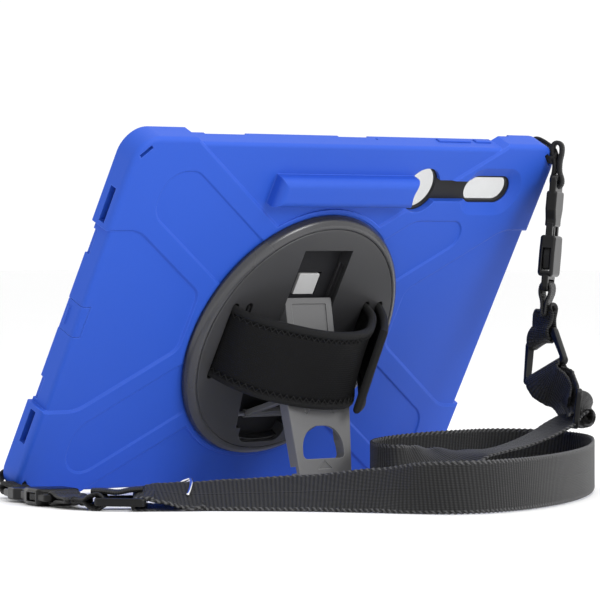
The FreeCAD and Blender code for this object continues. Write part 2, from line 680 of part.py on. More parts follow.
def buckle_male():
    """Hook half: strap bar, waist, two springy side arms and a centre guide."""
    tail = bar_plate([(-11, 0, 4), (11, 0, 4), (12.2, 16, 3), (-12.2, 16, 3)], 4.0, 1.0)
    tail = tail.cut(slot_cut(8.6, 3.4, 7.4))
    body = bar_plate([(-12.0, 10, 2), (12.0, 10, 2), (12.2, 21, 3), (9.0, 27, 3), (9.0, 31, 0),
                      (-9.0, 31, 0), (-9.0, 27, 3), (-12.2, 21, 3)], 6.4, 1.2)
    arms = []
    for sign in (-1, 1):
        corners = [(sign * 6.4, 29, 0), (sign * 10.6, 29, 0), (sign * 10.8, 44, 4),
                   (sign * 12.2, 48, 1), (sign * 10.2, 57, 1), (sign * 8.0, 57, 1)]
        arms.append(bar_plate(corners, 4.0, 0.5))
    guide = Part.makeBox(3.4, 3.0, 24, V(-1.7, -1.5, 30.5))
    return joined([body, tail, guide] + arms)


def buckle_female():
    """Socket half: hollow shell with side windows and a thinner strap bar."""
    shell = bar_plate([(-11.6, MALE_L + 0.4, 1), (11.6, MALE_L + 0.4, 1),
                       (BUCKLE_HALF, 46, 4), (BUCKLE_HALF - 0.4, 61, 3),
                       (-BUCKLE_HALF + 0.4, 61, 3), (-BUCKLE_HALF, 46, 4)], 9.4, 2.0)
    tail = bar_plate([(-12.2, 57, 0), (12.2, 57, 0), (11.0, BUCKLE_L, 4),
                      (-11.0, BUCKLE_L, 4)], 4.0, 1.0)
    tail = tail.cut(slot_cut(8.6, 62.6, 66.6))
    hollow = Part.makeBox(21.8, 5.0, 22.2, V(-10.9, -2.5, MALE_L))
    windows = Part.makeBox(40, 5.0, 13.8, V(-20, -2.5, 43.8))
    return joined([shell, tail]).cut(hollow).cut(windows)


def link_loop(reach):
    """Flat closed loop of webbing, from the bar in its first bend to its second bend."""
    def track(half):
        top, low = V(0, 0, reach + half), V(0, 0, -half)
        side = [V(0, half, 0), V(0, half, reach), V(0, -half, reach), V(0, -half, 0)]
        edges = [Part.LineSegment(side[0], side[1]).toShape(),
                 Part.Arc(side[1], top, side[2]).toShape(),
                 Part.LineSegment(side[2], side[3]).toShape(),
                 Part.Arc(side[3], low, side[0]).toShape()]
        return Part.Face(Part.Wire(edges))
    loop = track(LINK_GAP + LINK_T).cut(track(LINK_GAP)).extrude(V(LINK_W, 0, 0))
    loop.translate(V(-LINK_W / 2, 0, 0))
    return loop


def strap_link(loops):
    """Webbing looped round two bars and stitched together between them."""
    return joined([set_down(link_loop(reach), bar, across, along)
                   for bar, across, along, reach in loops])


def strap_ring():
    """Four-sided ring that joins the narrow link to the wide webbing."""
    plate = bar_plate([(-12, 0, 3), (12, 0, 3), (18.2, RING_L, 3), (-18.2, RING_L, 3)], 4.6, 1.4)
    wire = outline([(V(x, -5, z), 1.5) for x, z in ((-9.0, 3.6), (9.0, 3.6), (14.6, RING_L - 3.8),
                                                    (-14.6, RING_L - 3.8))])
    return plate.cut(Part.Face(wire).extrude(V(0, 10, 0)))


def tri_glide():
    """Slider with a middle bar."""
    plate = bar_plate([(-17.5, 0, 5), (17.5, 0, 5), (17.5, 24, 5), (-17.5, 24, 5)], 3.6, 1.2)
    for z0 in (3.6, 14.0):
        plate = plate.cut(slot_cut(14.4, z0, z0 + 6.4))
    return plate


def keeper_clip():
    """Bent wire clip that straddles the webbing's upper edge."""
    corners = [(V(0, -2.2, -15), 0), (V(0, -2.2, 0), 1.8), (V(0, 2.2, 0), 1.8), (V(0, 2.2, -15), 0)]
    path = outline(corners, closed=False)
    profile = Part.Wire(Part.makeCircle(0.9, corners[0][0], V(0, 0, 1)))
    return path.makePipeShell([profile], True, False)


def corner_loop(su, sv):
    """Tape through a corner slot and round the corner, drawn in case coordinates."""
    outer = Part.makeBox(5.0, 19.8, 7.3, V(-2.5, -2.4, -0.7))
    inner = Part.makeBox(7.0, 17.0, 4.5, V(-3.5, -1.0, 0.7))
    ends = [e for e in outer.Edges if e.BoundBox.XLength > 4.9]
    loop = outer.makeFillet(1.9, ends).cut(inner)
    if sv < 0:
        loop.rotate(V(0, 0, 0), V(1, 0, 0), 180)
        loop.translate(V(0, CASE_T, 0))
    loop.rotate(V(0, 0, 0), V(0, 1, 0), 45 * su * sv)
    loop.translate(at(su * SLOT_CORNER_U, CASE_V + sv * SLOT_CORNER_DV, 0))
    return loop


# Route of the webbing's middle line, from the left ring to the right slider. It stands on its
# long edge on the floor, runs past the front, turns back behind itself and rises at the end.
STRAP_ROUTE = [
    (-187.0, -83.9, 14.3), (-165.8, -99.4, 14.3), (-131.7, -136.1, 14.3), (-112.5, -191.9, 14.3),
    (-75.6, -234.2, 14.3), (-0.7, -221.3, 14.3), (56.5, -185.1, 14.6), (110.2, -142.6, 15.0),
    (153.9, -101.5, 16.0), (166.0, -64.0, 17.5), (136.0, -36.0, 19.0), (98.0, -38.0, 19.5),
    (66.0, -64.0, 20.0), (28.0, -84.0, 18.5), (-8.0, -110.0, 16.0), (-38.0, -140.0, 14.8),
    (-57.0, -170.0, 14.5), (-47.4, -191.5, 14.8), (-24.0, -202.9, 15.6), (15.5, -188.5, 19.0),
    (55.0, -163.0, 26.0), (96.0, -134.0, 34.0), (134.5, -103.5, 43.0)]


def tangent_route(points):
    """Straight runs joined by tangent arcs as large as the shorter run allows."""
    corners = [(points[0], 0)]
    for before, here, after in zip(points, points[1:], points[2:]):
        one, two = before - here, after - here
        turn = math.pi - one.getAngle(two)
        radius = 0.45 * min(one.Length, two.Length) / math.tan(turn / 2)
        corners.append((here, radius))
    corners.append((points[-1], 0))
    return outline(corners, closed=False), [radius for _, radius in corners[1:-1]]


def webbing(points, width, thickness):
    """Flat band swept along a route with its width upright."""
    path, radii = tangent_route(points)
    first = path.Edges[0]
    start = first.valueAt(first.FirstParameter)
    along = first.tangentAt(first.FirstParameter)
    if start.distanceToPoint(points[0]) > 1e-3:
        start, along = points[0], (points[1] - points[0]).normalize()
    side = along.cross(V(0, 0, 1)).normalize() * (thickness / 2)
    up = V(0, 0, width / 2)
    profile = Part.makePolygon([start + side + up, start - side + up, start - side - up,
                                start + side - up, start + side + up])
    sweep = Part.BRepOffsetAPI.MakePipeShell(path)
    sweep.setBiNormalMode(V(0, 0, 1))
    sweep.add(profile)
    sweep.build()
    sweep.makeSolid()
    solid = sweep.shape()
    print("webbing: length", round(path.Length, 1), "volume ratio",
          round(solid.Volume / (path.Length * width * thickness), 4),
          "smallest radius", round(min(radii), 1))
    return solid


def flat_band(start, end, width_axis, width, thickness):
    """Straight stretch of webbing between two points."""
    along = end - start
    band = Part.makeBox(width, thickness, along.Length, V(-width / 2, -thickness / 2, 0))
    return set_down(band, start, width_axis, along)


# ------------------------------------------------------------------ assembly

def lean_angle():
    """Lean at which the bottom bumper and the foot stand on one level."""
    knee = at(0, STRUT_PIN_V + STRUT_L * math.cos(STRUT_OPEN),
              PIN_W + STRUT_L * math.sin(STRUT_OPEN))
    down = LEG_L - LEG_TOP_GAP - LEG_PIN_GAP
    out = (LEG_INNER + LEG_OUTER) / 2 - PIN_W
    foot_v = knee.z - down * math.cos(LEG_OPEN) + out * math.sin(LEG_OPEN)
    foot_w = -knee.y + down * math.sin(LEG_OPEN) + out * math.cos(LEG_OPEN)
    bumper = 3.0
    reach = math.hypot(foot_v - bumper, foot_w + bumper)
    return math.acos(-bumper / reach) - math.atan2(foot_w + bumper, foot_v - bumper)


LEAN = math.degrees(lean_angle())
SHIFT_Y = 47.4


def stand(shape):
    """From the upright drawing position to the leaning one, on the floor."""
    placed = shape.copy()
    placed.rotate(V(0, 0, 0), V(1, 0, 0), LEAN)
    lean = math.radians(LEAN)
    placed.translate(V(0, SHIFT_Y, 3.0 - 3.0 * (math.sin(lean) + math.cos(lean))))
    return placed


def case_parts():
    closed = {
        "silicone_cover": silicone_cover(), "port_flap": port_flap(),
        "volume_key": key_cover(VOLUME_U), "power_key": key_cover(POWER_U),
        "back_shell": back_shell(), "front_frame": front_frame(), "screen_film": screen_film(),
        "base_ring": base_ring(), "base_ring_screws": ring_screws(), "slip_washer": slip_washer(),
        "rotor_cover": rotor_cover(), "rotor_plate": rotor_plate(),
        "rotor_screws": plate_screws(), "release_tab": release_tab(),
        "tab_spring": tab_spring(), "hand_strap": hand_strap(),
        "strut_pin": rod(PIN_R, -25.8, 25.8, STRUT_PIN_V, PIN_W),
        "corner_loop_right": corner_loop(1, 1), "corner_loop_left": corner_loop(-1, -1),
    }
    closed["kickstand_strut"] = opened(strut(), "strut")
    closed["kickstand_leg"] = opened(leg(), "leg")
    closed["knee_pin"] = opened(rod(PIN_R, -19.8, 19.8, KNEE_V, PIN_W), "leg")
    closed["slide_pin"] = opened(rod(PIN_R, -21.9, 21.9, SLIDE_PIN_V, PIN_W), "leg")
    placed = {name: stand(shape) for name, shape in closed.items()}
    floor = Part.makeBox(100, 100, 20, V(-50, -100, -20))
    placed["kickstand_leg"] = placed["kickstand_leg"].cut(floor)
    return placed


def right_chain():
    """Hangs from the upper right corner to the end of the webbing."""
    across = V(0.856, 0.517, 0)
    top, down = V(168.0, -59.5, 184.0), V(-0.06, 0.06, -1).normalize()
    bar = top + down * BUCKLE_BAR
    ring_bar = V(161.8, -53.0, 86.9)
    ring_along, ring_across = V(-0.331, -0.432, -0.84), V(0.05, -0.8965, 0.44)
    wide_bar = ring_bar + ring_along * (RING_L - 2 * RING_BAR)
    slider_top, slider_across = V(153.1, -89.5, 57.5), V(0.7056, 0.7086, 0)
    riser_end = V(149.5, -77.5, 51.5)
    riser_along = (riser_end - wide_bar).normalize()
    return {
        "buckle_male_right": set_down(buckle_male(), top, across, down),
        "buckle_female_right": set_down(buckle_female(), top, across, down),
        "tie_right": flat_band(V(165.6, -62.6, 197.5), V(167.4, -63.2, 181.5), across, 5.0, 1.5),
        "link_right": strap_link([(bar, across, down, 11.0),
                                  (ring_bar, ring_across, -ring_along, 14.0)]),
        "ring_right": set_down(strap_ring(), ring_bar - ring_along * RING_BAR, ring_across,
                               ring_along),
        "slider_right": set_down(tri_glide(), slider_top, slider_across, V(-0.1, 0.05, -1)),
        "strap_riser": flat_band(wide_bar + riser_along * 7.0, riser_end, ring_across, 22.0,
                                 WEB_T),
    }


def left_chain():
    """Lies on the table from the lower left corner to the start of the webbing."""
    along, across = V(-0.364, -0.932, 0), V(0.932, -0.364, 0)
    start = V(-176.6, 32.6, 4.9)
    ring_bar = V(-206.5, -64.4, 4.9)
    ring_along, ring_across = V(0.7086, -0.7056, 0), V(0.7056, 0.7086, 0)
    return {
        "tie_left": flat_band(V(-172.6, 47.5, 4.0), V(-175.6, 33.6, 1.6), across, 5.0, 1.5),
        "buckle_male_left": set_down(buckle_male(), start, across, along),
        "buckle_female_left": set_down(buckle_female(), start, across, along),
        "link_left": strap_link([(start + along * BUCKLE_BAR, across, along, 19.0),
                                 (ring_bar, ring_across, -ring_along, 8.0)]),
        "ring_left": set_down(strap_ring(), ring_bar - ring_along * RING_BAR, ring_across,
                              ring_along),
        "keeper_left": set_down(keeper_clip(), V(-175.8, -92.1, 29.6), ring_along, V(0, 0, 1)),
    }


def strap_parts():
    parts = {**right_chain(), **left_chain()}
    parts["shoulder_strap"] = webbing([V(*point) for point in STRAP_ROUTE], WEB_W, WEB_T)
    return parts


if __name__ == "__main__":
    everything = {**case_parts(), **strap_parts()}
    for name, shape in everything.items():
        box = shape.BoundBox
        print(f"{name:22s} solids {len(shape.Solids)} valid {shape.isValid()} "
              f"vol {shape.Volume / 1000:8.2f} cm3  "
              f"x {box.XMin:7.1f}..{box.XMax:7.1f} y {box.YMin:7.1f}..{box.YMax:7.1f} "
              f"z {box.ZMin:7.1f}..{box.ZMax:7.1f}")
        shape.exportStep(f"parts/{name}.step")
    print("lean", round(LEAN, 2), "leg open", round(math.degrees(LEG_OPEN), 2))
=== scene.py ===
"""Looks of the rugged tablet case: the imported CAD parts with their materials, and the soft parts
(hand strap, corner loops, webbing links and shoulder strap) modelled as what they are."""

import json
import math

import bpy
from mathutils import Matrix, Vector


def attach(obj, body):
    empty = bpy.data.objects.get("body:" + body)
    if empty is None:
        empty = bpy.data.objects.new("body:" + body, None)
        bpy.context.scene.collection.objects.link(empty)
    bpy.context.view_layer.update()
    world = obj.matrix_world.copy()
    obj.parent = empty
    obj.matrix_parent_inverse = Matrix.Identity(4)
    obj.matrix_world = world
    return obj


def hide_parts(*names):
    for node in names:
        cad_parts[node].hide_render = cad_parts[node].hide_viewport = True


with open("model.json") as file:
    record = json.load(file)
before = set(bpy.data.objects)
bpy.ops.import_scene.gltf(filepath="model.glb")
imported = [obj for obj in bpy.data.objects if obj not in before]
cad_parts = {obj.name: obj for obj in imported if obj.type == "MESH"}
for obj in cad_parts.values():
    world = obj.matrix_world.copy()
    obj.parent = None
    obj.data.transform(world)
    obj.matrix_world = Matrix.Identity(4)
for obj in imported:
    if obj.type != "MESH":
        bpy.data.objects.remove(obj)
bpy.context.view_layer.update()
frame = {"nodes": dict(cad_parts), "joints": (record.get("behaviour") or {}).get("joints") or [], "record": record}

UP = Vector((0, 0, 1))
DEEP = Vector((0.7056, 0.7086, 0))         # level, away from the photo camera
SIDEWAYS = Vector((0.7086, -0.7056, 0))    # level, to the right in the photo
MM = 0.001


# ------------------------------------------------------------------ places on the case

joints = {joint["name"]: joint for joint in frame["joints"]}
HUB = Vector(joints["disc_turn"]["pos_m"])
OUT = Vector(joints["disc_turn"]["axis"]).normalized()
RIGHT = Vector((1, 0, 0))
CASE_UP = OUT.cross(RIGHT)
CASE_UP = CASE_UP if CASE_UP.z > 0 else -CASE_UP
CORNER_U, CORNER_V = 163.4, 105.8          # from the case's middle to its corner slots, mm
CASE_MIDDLE_V = 114.4
HUB_V = 103.8              # the hub's height above the case's bottom edge, mm


def on_case(u, v, w):
    """Point in the case's own millimetres: across, up from the bottom edge, out of the back."""
    return HUB + (RIGHT * u + CASE_UP * (v - HUB_V) + OUT * w) * MM


# ------------------------------------------------------------------ material nodes

BEVEL_SAMPLES = 6
FLAT_DOT, EDGE_DOT = 0.995, 0.86           # true normal against rounded one: flat, on an edge
MIX_FACTOR, MIX_A, MIX_B, MIX_RESULT = 0, 6, 7, 2      # a Mix node's colour sockets


class Nodes:
    """Short way to wire a material."""

    def __init__(self, name, color, roughness, coords="Object"):
        self.material = bpy.data.materials.new(name)
        self.material.use_nodes = True
        self.tree = self.material.node_tree
        self.shader = self.tree.nodes["Principled BSDF"]
        self.shader.inputs["Base Color"].default_value = (*color, 1)
        self.shader.inputs["Roughness"].default_value = roughness
        place = self.tree.nodes.new("ShaderNodeTexCoord")
        self.place = place.outputs[coords]     # where every pattern is looked up

    def add(self, kind, **values):
        """New node; its inputs are given by name with _ for a space."""
        node = self.tree.nodes.new("ShaderNode" + kind)
        for key, value in values.items():
            if hasattr(node, key) and key not in node.inputs:
                setattr(node, key, value)
            else:
                self.put(node.inputs[key.replace("_", " ")], value)
        return node

    def put(self, socket, value):
        """Link or set one input."""
        if isinstance(value, bpy.types.NodeSocket):
            self.tree.links.new(value, socket)
        else:
            socket.default_value = value

    def math(self, operation, one, two=None, clamp=False):
        node = self.tree.nodes.new("ShaderNodeMath")
        node.operation = operation
        node.use_clamp = clamp
        self.put(node.inputs[0], one)
        if two is not None:
            self.put(node.inputs[1], two)
        return node.outputs[0]

    def noise(self, scale, detail=3.0, rough=0.5, vector=None):
        node = self.add("TexNoise", Scale=scale, Detail=detail, Roughness=rough,
                        Vector=vector or self.place)
        return node.outputs["Fac"]

    def spread(self, value, low, high):
        """Value from 0..1 to low..high."""
        node = self.tree.nodes.new("ShaderNodeMapRange")
        self.put(node.inputs["Value"], value)
        node.inputs["To Min"].default_value = low
        node.inputs["To Max"].default_value = high
        return node.outputs["Result"]

    def step(self, value, start, end):
        """Smooth 0 to 1 as value goes from start to end."""
        node = self.tree.nodes.new("ShaderNodeMapRange")
        node.interpolation_type = "SMOOTHSTEP"
        self.put(node.inputs["Value"], value)
        node.inputs["From Min"].default_value = start
        node.inputs["From Max"].default_value = end
        return node.outputs["Result"]

    def mix(self, factor, one, two):
        node = self.tree.nodes.new("ShaderNodeMix")
        node.data_type = "RGBA"
        self.put(node.inputs[MIX_FACTOR], factor)
        self.put(node.inputs[MIX_A], one)
        self.put(node.inputs[MIX_B], two)
        return node.outputs[MIX_RESULT]

    def set(self, **values):
        for key, value in values.items():
            self.put(self.shader.inputs[key.replace("_", " ")], value)

    def bump(self, height, distance, strength=1.0, normal=None):
        node = self.add("Bump", Height=height, Distance=distance, Strength=strength)
        if normal is not None:
            self.put(node.inputs["Normal"], normal)
        return node.outputs["Normal"]

    def edge_mask(self, radius):
        """1 on outer and inner edges, and the rounded normal that goes with it."""
        bevel = self.add("Bevel", samples=BEVEL_SAMPLES, Radius=radius)
        shape = self.tree.nodes.new("ShaderNodeNewGeometry")
        dot = self.tree.nodes.new("ShaderNodeVectorMath")
        dot.operation = "DOT_PRODUCT"
        self.put(dot.inputs[0], bevel.outputs[0])
        self.put(dot.inputs[1], shape.outputs["Normal"])
        return self.step(dot.outputs["Value"], FLAT_DOT, EDGE_DOT), bevel.outputs[0]


DRIFT_SCALE = 14.0                         # slow drift of a moulded surface, per metre
SPECK_SHARE, SPECK_LIGHT = 0.25, 1.35      # how much of the grain shows, and how light
PATCHY, EDGE_POLISH = 0.05, -0.08          # roughness: drift either way, and on edges


def shade(color, factor):
    return (*(min(1.0, c * factor) for c in color), 1)


def moulded(name, color, roughness, grain=900.0, depth=0.00004, edge=0.0005, edge_wear_and_highlight=1.5,
            sheen=0.35, blotch=0.12):
    """Moulded plastic or rubber: fine grain, slow colour drift, smoother edges painted lighter as
    rubbed edges and as a painted highlight. Grain is per metre, depth and edge are in metres,
    edge_wear_and_highlight is how much lighter an edge is."""
    n = Nodes(name, color, roughness)
    drift = n.noise(DRIFT_SCALE, 4.0)
    speck = n.noise(grain, 2.0)
    mask, rounded = n.edge_mask(edge)
    base = n.mix(drift, shade(color, 1 - blotch), shade(color, 1 + blotch))
    base = n.mix(n.math("MULTIPLY", speck, SPECK_SHARE), base, shade(color, SPECK_LIGHT))
    patchy = n.spread(drift, roughness - PATCHY, roughness + PATCHY)
    # painted highlight and rubbed edges: the edge colour is made lighter, standing for the light that rounded
    # edges catch and for rubbed plastic
    n.set(Base_Color=n.mix(mask, base, shade(color, edge_wear_and_highlight)),
          Roughness=n.math("ADD", patchy, n.math("MULTIPLY", mask, EDGE_POLISH)),
          Specular_IOR_Level=sheen,
          Normal=n.bump(speck, depth, 1.0, rounded))
    return n.material


def metal(name, color, roughness, stretch=(1, 1, 1)):
    """Drawn metal: fine lines, stretched along one axis."""
    n = Nodes(name, color, roughness)
    mapping = n.add("Mapping", Vector=n.place, Scale=stretch)
    lines = n.noise(500.0, 3.0, 0.6, mapping.outputs[0])
    _, rounded = n.edge_mask(0.0002)
    n.set(Metallic=1.0, Roughness=n.spread(lines, roughness * 0.7, roughness * 1.4),
          Normal=n.bump(lines, 0.00001, 0.6, rounded))
    return n.material


SELVEDGE_PITCH = 0.0034                    # the stitches along a webbing's edges
SELVEDGE_IN, SELVEDGE_OUT = 0.0021, 0.0016             # where they start, in from the edge
SELVEDGE_LIGHT = 2.1
STITCH_HEIGHT, GROOVE_HALF = 0.8, 0.0007
RIB_SHARE, YARN_ROUND = 0.75, 0.6
FIBRE_SCALE, FIBRE_HEIGHT = 5200.0, 0.22
FADE_SCALE, FADED = 60.0, 0.65
GAP_DARK = 0.45                            # colour between the yarns


def woven(name, color, light, pitch_along, pitch_across, depth, width=0.0, fuzz=0.03, twill=0.5,
          gloss=0.26):
    """Webbing: ribs across and fine yarns along, looked up in a UV in metres. Where a width is
    given, slanting lighter stitches at both edges and a groove down the middle."""
    n = Nodes(name, color, 0.62, "UV")
    split = n.add("SeparateXYZ", Vector=n.place)
    along, across = split.outputs[0], split.outputs[1]
    rows = n.math("DIVIDE", across, pitch_across)
    shift = n.math("MULTIPLY", n.math("FLOOR", rows), twill)
    phase = n.math("ADD", n.math("DIVIDE", along, pitch_along), shift)
    rib = n.math("SINE", n.math("MULTIPLY", phase, 2 * math.pi))
    rib = n.math("ADD", n.math("MULTIPLY", rib, 0.5), 0.5)
    yarn = n.math("ABSOLUTE", n.math("SINE", n.math("MULTIPLY", rows, math.pi)))
    ribbed = n.math("ADD", n.math("MULTIPLY", rib, RIB_SHARE), 1 - RIB_SHARE)
    weave = n.math("MULTIPLY", n.math("POWER", yarn, YARN_ROUND), ribbed)
    fibre = n.noise(FIBRE_SCALE, 3.0, 0.7)
    drift = n.noise(FADE_SCALE, 3.0)
    height = n.math("ADD", weave, n.math("MULTIPLY", fibre, FIBRE_HEIGHT))
    tone = n.math("MULTIPLY", height, n.spread(drift, FADED, 1.0), clamp=True)
    base = n.mix(tone, shade(color, GAP_DARK), (*light, 1))
    if width:
        off_middle = n.math("ABSOLUTE", n.math("SUBTRACT", across, width / 2))
        edge = n.step(off_middle, width / 2 - SELVEDGE_IN, width / 2 - SELVEDGE_OUT)
        slant = n.math("ADD", n.math("DIVIDE", along, SELVEDGE_PITCH),
                       n.math("DIVIDE", across, SELVEDGE_PITCH))
        dash = n.step(n.math("SINE", n.math("MULTIPLY", slant, 2 * math.pi)), -0.3, 0.5)
        stitch = n.math("MULTIPLY", edge, dash)
        base = n.mix(stitch, base, shade(light, SELVEDGE_LIGHT))
        height = n.math("ADD", height, n.math("MULTIPLY", stitch, STITCH_HEIGHT))
        groove = n.step(off_middle, GROOVE_HALF, 0.0)
        height = n.math("SUBTRACT", height, n.math("MULTIPLY", groove, STITCH_HEIGHT))
    n.set(Base_Color=base, Roughness=n.spread(fibre, 0.38, 0.6), Sheen_Weight=fuzz,
          Sheen_Roughness=0.45, Specular_IOR_Level=gloss,
          Normal=n.bump(height, depth))
    return n.material


def braid(name, color, light, pitch=0.0016):
    """Braided tape or cord: crossing yarns."""
    n = Nodes(name, color, 0.7, "UV")
    split = n.add("SeparateXYZ", Vector=n.place)
    waves = []
    for sign in (1, -1):
        slant = n.math("ADD", split.outputs[0], n.math("MULTIPLY", split.outputs[1], sign))
        wave = n.math("SINE", n.math("MULTIPLY", slant, 2 * math.pi / pitch))
        waves.append(n.math("ABSOLUTE", wave))
    cross = n.math("MAXIMUM", waves[0], waves[1])
    fibre = n.noise(4200.0, 3.0, 0.7)
    height = n.math("ADD", cross, n.math("MULTIPLY", fibre, 0.4))
    n.set(Base_Color=n.mix(n.math("MULTIPLY", height, 0.6, clamp=True), shade(color, 0.4),
                           (*light, 1)),
          Roughness=n.spread(fibre, 0.5, 0.75), Sheen_Weight=0.02, Specular_IOR_Level=0.2,
          Normal=n.bump(height, 0.00035))
    return n.material


def clear_film():
    """Clear sheet with faint smears."""
    n = Nodes("clear_film", (0.9, 0.93, 0.96), 0.08)
    smear = n.noise(30.0, 4.0)
    n.set(Transmission_Weight=0.9, Alpha=0.35, Roughness=n.spread(smear, 0.05, 0.16))
    return n.material


def silicone():
    """Soft matt blue cover: fine grain and pores, slow drift, rounded edges with a painted highlight of lighter
    blue.
    """
    color = (0.017, 0.080, 0.49)
    n = Nodes("silicone_blue", color, 0.5)
    grain = n.noise(2300.0, 2.0, 0.6)
    pores = n.add("TexVoronoi", Vector=n.place, Scale=1500.0).outputs["Distance"]
    drift = n.noise(7.0, 4.0)
    mask, rounded = n.edge_mask(0.0009)
    base = n.mix(drift, shade(color, 0.93), shade(color, 1.06))
    base = n.mix(n.math("MULTIPLY", grain, 0.2), base, (0.035, 0.11, 0.60, 1))
    # painted highlight: lighter blue on the edges, standing for the light that the rounded edges catch
    base = n.mix(n.math("MULTIPLY", mask, 0.8), base, (0.06, 0.16, 0.75, 1))
    height = n.math("ADD", n.math("MULTIPLY", grain, 0.7), n.math("MULTIPLY", pores, 0.5))
    n.set(Base_Color=base, Roughness=n.spread(grain, 0.46, 0.62), Specular_IOR_Level=0.26,
          Sheen_Weight=0.02, Sheen_Roughness=0.4, Sheen_Tint=(0.55, 0.68, 1.0, 1),
          Normal=n.bump(height, 0.00005, 0.8, rounded))
    return n.material


WEB_W, WEB_THICK = 0.028, 0.0018
SLOT_MATERIALS = {
    "silicone": silicone(),
    "shell_plastic": moulded("shell_black", (0.016, 0.016, 0.018), 0.5, grain=1400.0, sheen=0.2),
    "frame_plastic": moulded("frame_black", (0.015, 0.015, 0.017), 0.38, grain=1600.0,
                             depth=0.00002, sheen=0.2),
    "clear_film": clear_film(),
    "ring_plastic": moulded("ring_satin", (0.022, 0.022, 0.025), 0.26, grain=1800.0,
                            depth=0.000012, edge=0.0007, edge_wear_and_highlight=1.8, sheen=0.75),
    "washer_plastic": moulded("washer_natural", (0.68, 0.66, 0.6), 0.4, grain=1200.0,
                              depth=0.00001),
    "disc_plastic": moulded("disc_grain", (0.027, 0.027, 0.029), 0.4, grain=1500.0,
                            depth=0.00003, edge=0.0006, edge_wear_and_highlight=2.2, sheen=0.7),
    "tab_plastic": moulded("tab_light", (0.5, 0.5, 0.5), 0.42, grain=1500.0, depth=0.00002,
                           edge=0.0004, edge_wear_and_highlight=1.4),
    "kickstand_plastic": moulded("kickstand_satin", (0.12, 0.12, 0.122), 0.4, grain=1700.0,
                                 depth=0.00002, edge=0.0006, edge_wear_and_highlight=1.9, sheen=0.4),
    "steel": metal("steel_pin", (0.4, 0.4, 0.41), 0.32, stretch=(0.05, 1, 1)),
    "buckle_plastic": moulded("buckle_black", (0.004, 0.004, 0.0043), 0.34, grain=1300.0,
                              depth=0.00003, edge=0.0008, edge_wear_and_highlight=5.5, sheen=0.22, blotch=0.2),
    "chrome_wire": metal("chrome_wire", (0.82, 0.82, 0.84), 0.12),
    "webbing": woven("webbing_ribbed", (0.009, 0.009, 0.0094), (0.040, 0.040, 0.041),
                     pitch_along=0.0023, pitch_across=0.0009, depth=0.00034, width=WEB_W,
                     twill=0.05, gloss=0.13),
    "link_webbing": woven("link_webbing", (0.007, 0.007, 0.0075), (0.026, 0.026, 0.027),
                          pitch_along=0.0013, pitch_across=0.0021, depth=0.0005, fuzz=0.02,
                          twill=0.0),
    "cord_fabric": braid("loop_braid", (0.006, 0.006, 0.0065), (0.016, 0.016, 0.017)),
    "strap_fabric": woven("hand_strap_rib", (0.0025, 0.0025, 0.0027), (0.0075, 0.0075, 0.008),
                          pitch_along=0.0011, pitch_across=0.0013, depth=0.00016, fuzz=0.01,
                          gloss=0.12),
    "strap_edge": braid("hand_strap_edge", (0.003, 0.003, 0.0032), (0.009, 0.009, 0.0094),
                        pitch=0.0011),
    "thread": braid("thread", (0.010, 0.010, 0.0105), (0.028, 0.028, 0.029), pitch=0.0006),
}

for entry in frame["record"]["subparts"]:
    finish = SLOT_MATERIALS[entry["material_slot"]]
    node = frame["nodes"][entry["node"]]
    if not node.data.materials:
        node.data.materials.append(finish)
    for index in range(len(node.data.materials)):
        node.data.materials[index] = finish


# ------------------------------------------------------------------ mesh helpers

CUT_ROUNDS = 4
SPLINE_STEPS = 24
RIM_SHARE = 0.46           # past this share of the width, a band's face becomes its edge
TABLE_GAP = 0.0002         # nothing of a band goes lower than this above the table


def mesh_object(name, verts, faces, uvs, slot, finish=None):
    """Smooth mesh object from points and faces, with a UV for each vertex in metres. Its
    material is its slot's, or the finish where one is given."""
    data = bpy.data.meshes.new(name)
    data.from_pydata([tuple(v) for v in verts], [], faces)
    data.update()
    layer = data.uv_layers.new(name="metres")
    for loop in data.loops:
        layer.data[loop.index].uv = uvs[loop.vertex_index]
    for polygon in data.polygons:
        polygon.use_smooth = True
    data.materials.append(finish or SLOT_MATERIALS[slot])
    obj = bpy.data.objects.new(name, data)
    bpy.context.scene.collection.objects.link(obj)
    return obj


def rounded_line(points, closed=False):
    """Smooth line: corners cut again and again; an open line keeps its ends."""
    points = [Vector(p) for p in points]
    for _ in range(CUT_ROUNDS):
        cut = [] if closed else [points[0]]
        pairs = list(zip(points, points[1:] + points[:1] if closed else points[1:]))
        for one, two in pairs:
            cut += [one * 0.75 + two * 0.25, one * 0.25 + two * 0.75]
        if not closed:
            cut.append(points[-1])
        points = cut
    return points


def lengths_along(points):
    """Way along the line to each of its points."""
    total = [0.0]
    for one, two in zip(points, points[1:]):
        total.append(total[-1] + (two - one).length)
    return total


def at_length(points, totals, distance):
    """Point at a distance along a line whose lengths_along are the totals."""
    low, high = 0, len(points) - 1
    while high - low > 1:
        middle = (low + high) // 2
        if totals[middle] <= distance:
            low = middle
        else:
            high = middle
    span = totals[high] - totals[low]
    share = min(max((distance - totals[low]) / span, 0.0), 1.0) if span > 0 else 0.0
    return points[low].lerp(points[high], share)


def evenly(points, step):
    """The same line with its points about a step apart."""
    totals = lengths_along(points)
    count = max(2, round(totals[-1] / step))
    return [at_length(points, totals, totals[-1] * i / count) for i in range(count + 1)]


def spline_points(name, route):
    """Points of the NURBS line that has the route as its control points."""
    curve = bpy.data.curves.new(name, "CURVE")
    curve.dimensions = "3D"
    spline = curve.splines.new("NURBS")
    spline.points.add(len(route) - 1)
    for point, place in zip(spline.points, route):
        point.co = (*place, 1)
    spline.order_u = 3
    spline.use_endpoint_u = True
    spline.resolution_u = SPLINE_STEPS
    holder = bpy.data.objects.new(name, curve)
    bpy.context.scene.collection.objects.link(holder)
    line = bpy.data.meshes.new_from_object(holder)
    points = [vertex.co.copy() for vertex in line.vertices]
    bpy.data.objects.remove(holder)
    bpy.data.curves.remove(curve)
    bpy.data.meshes.remove(line)
    return points


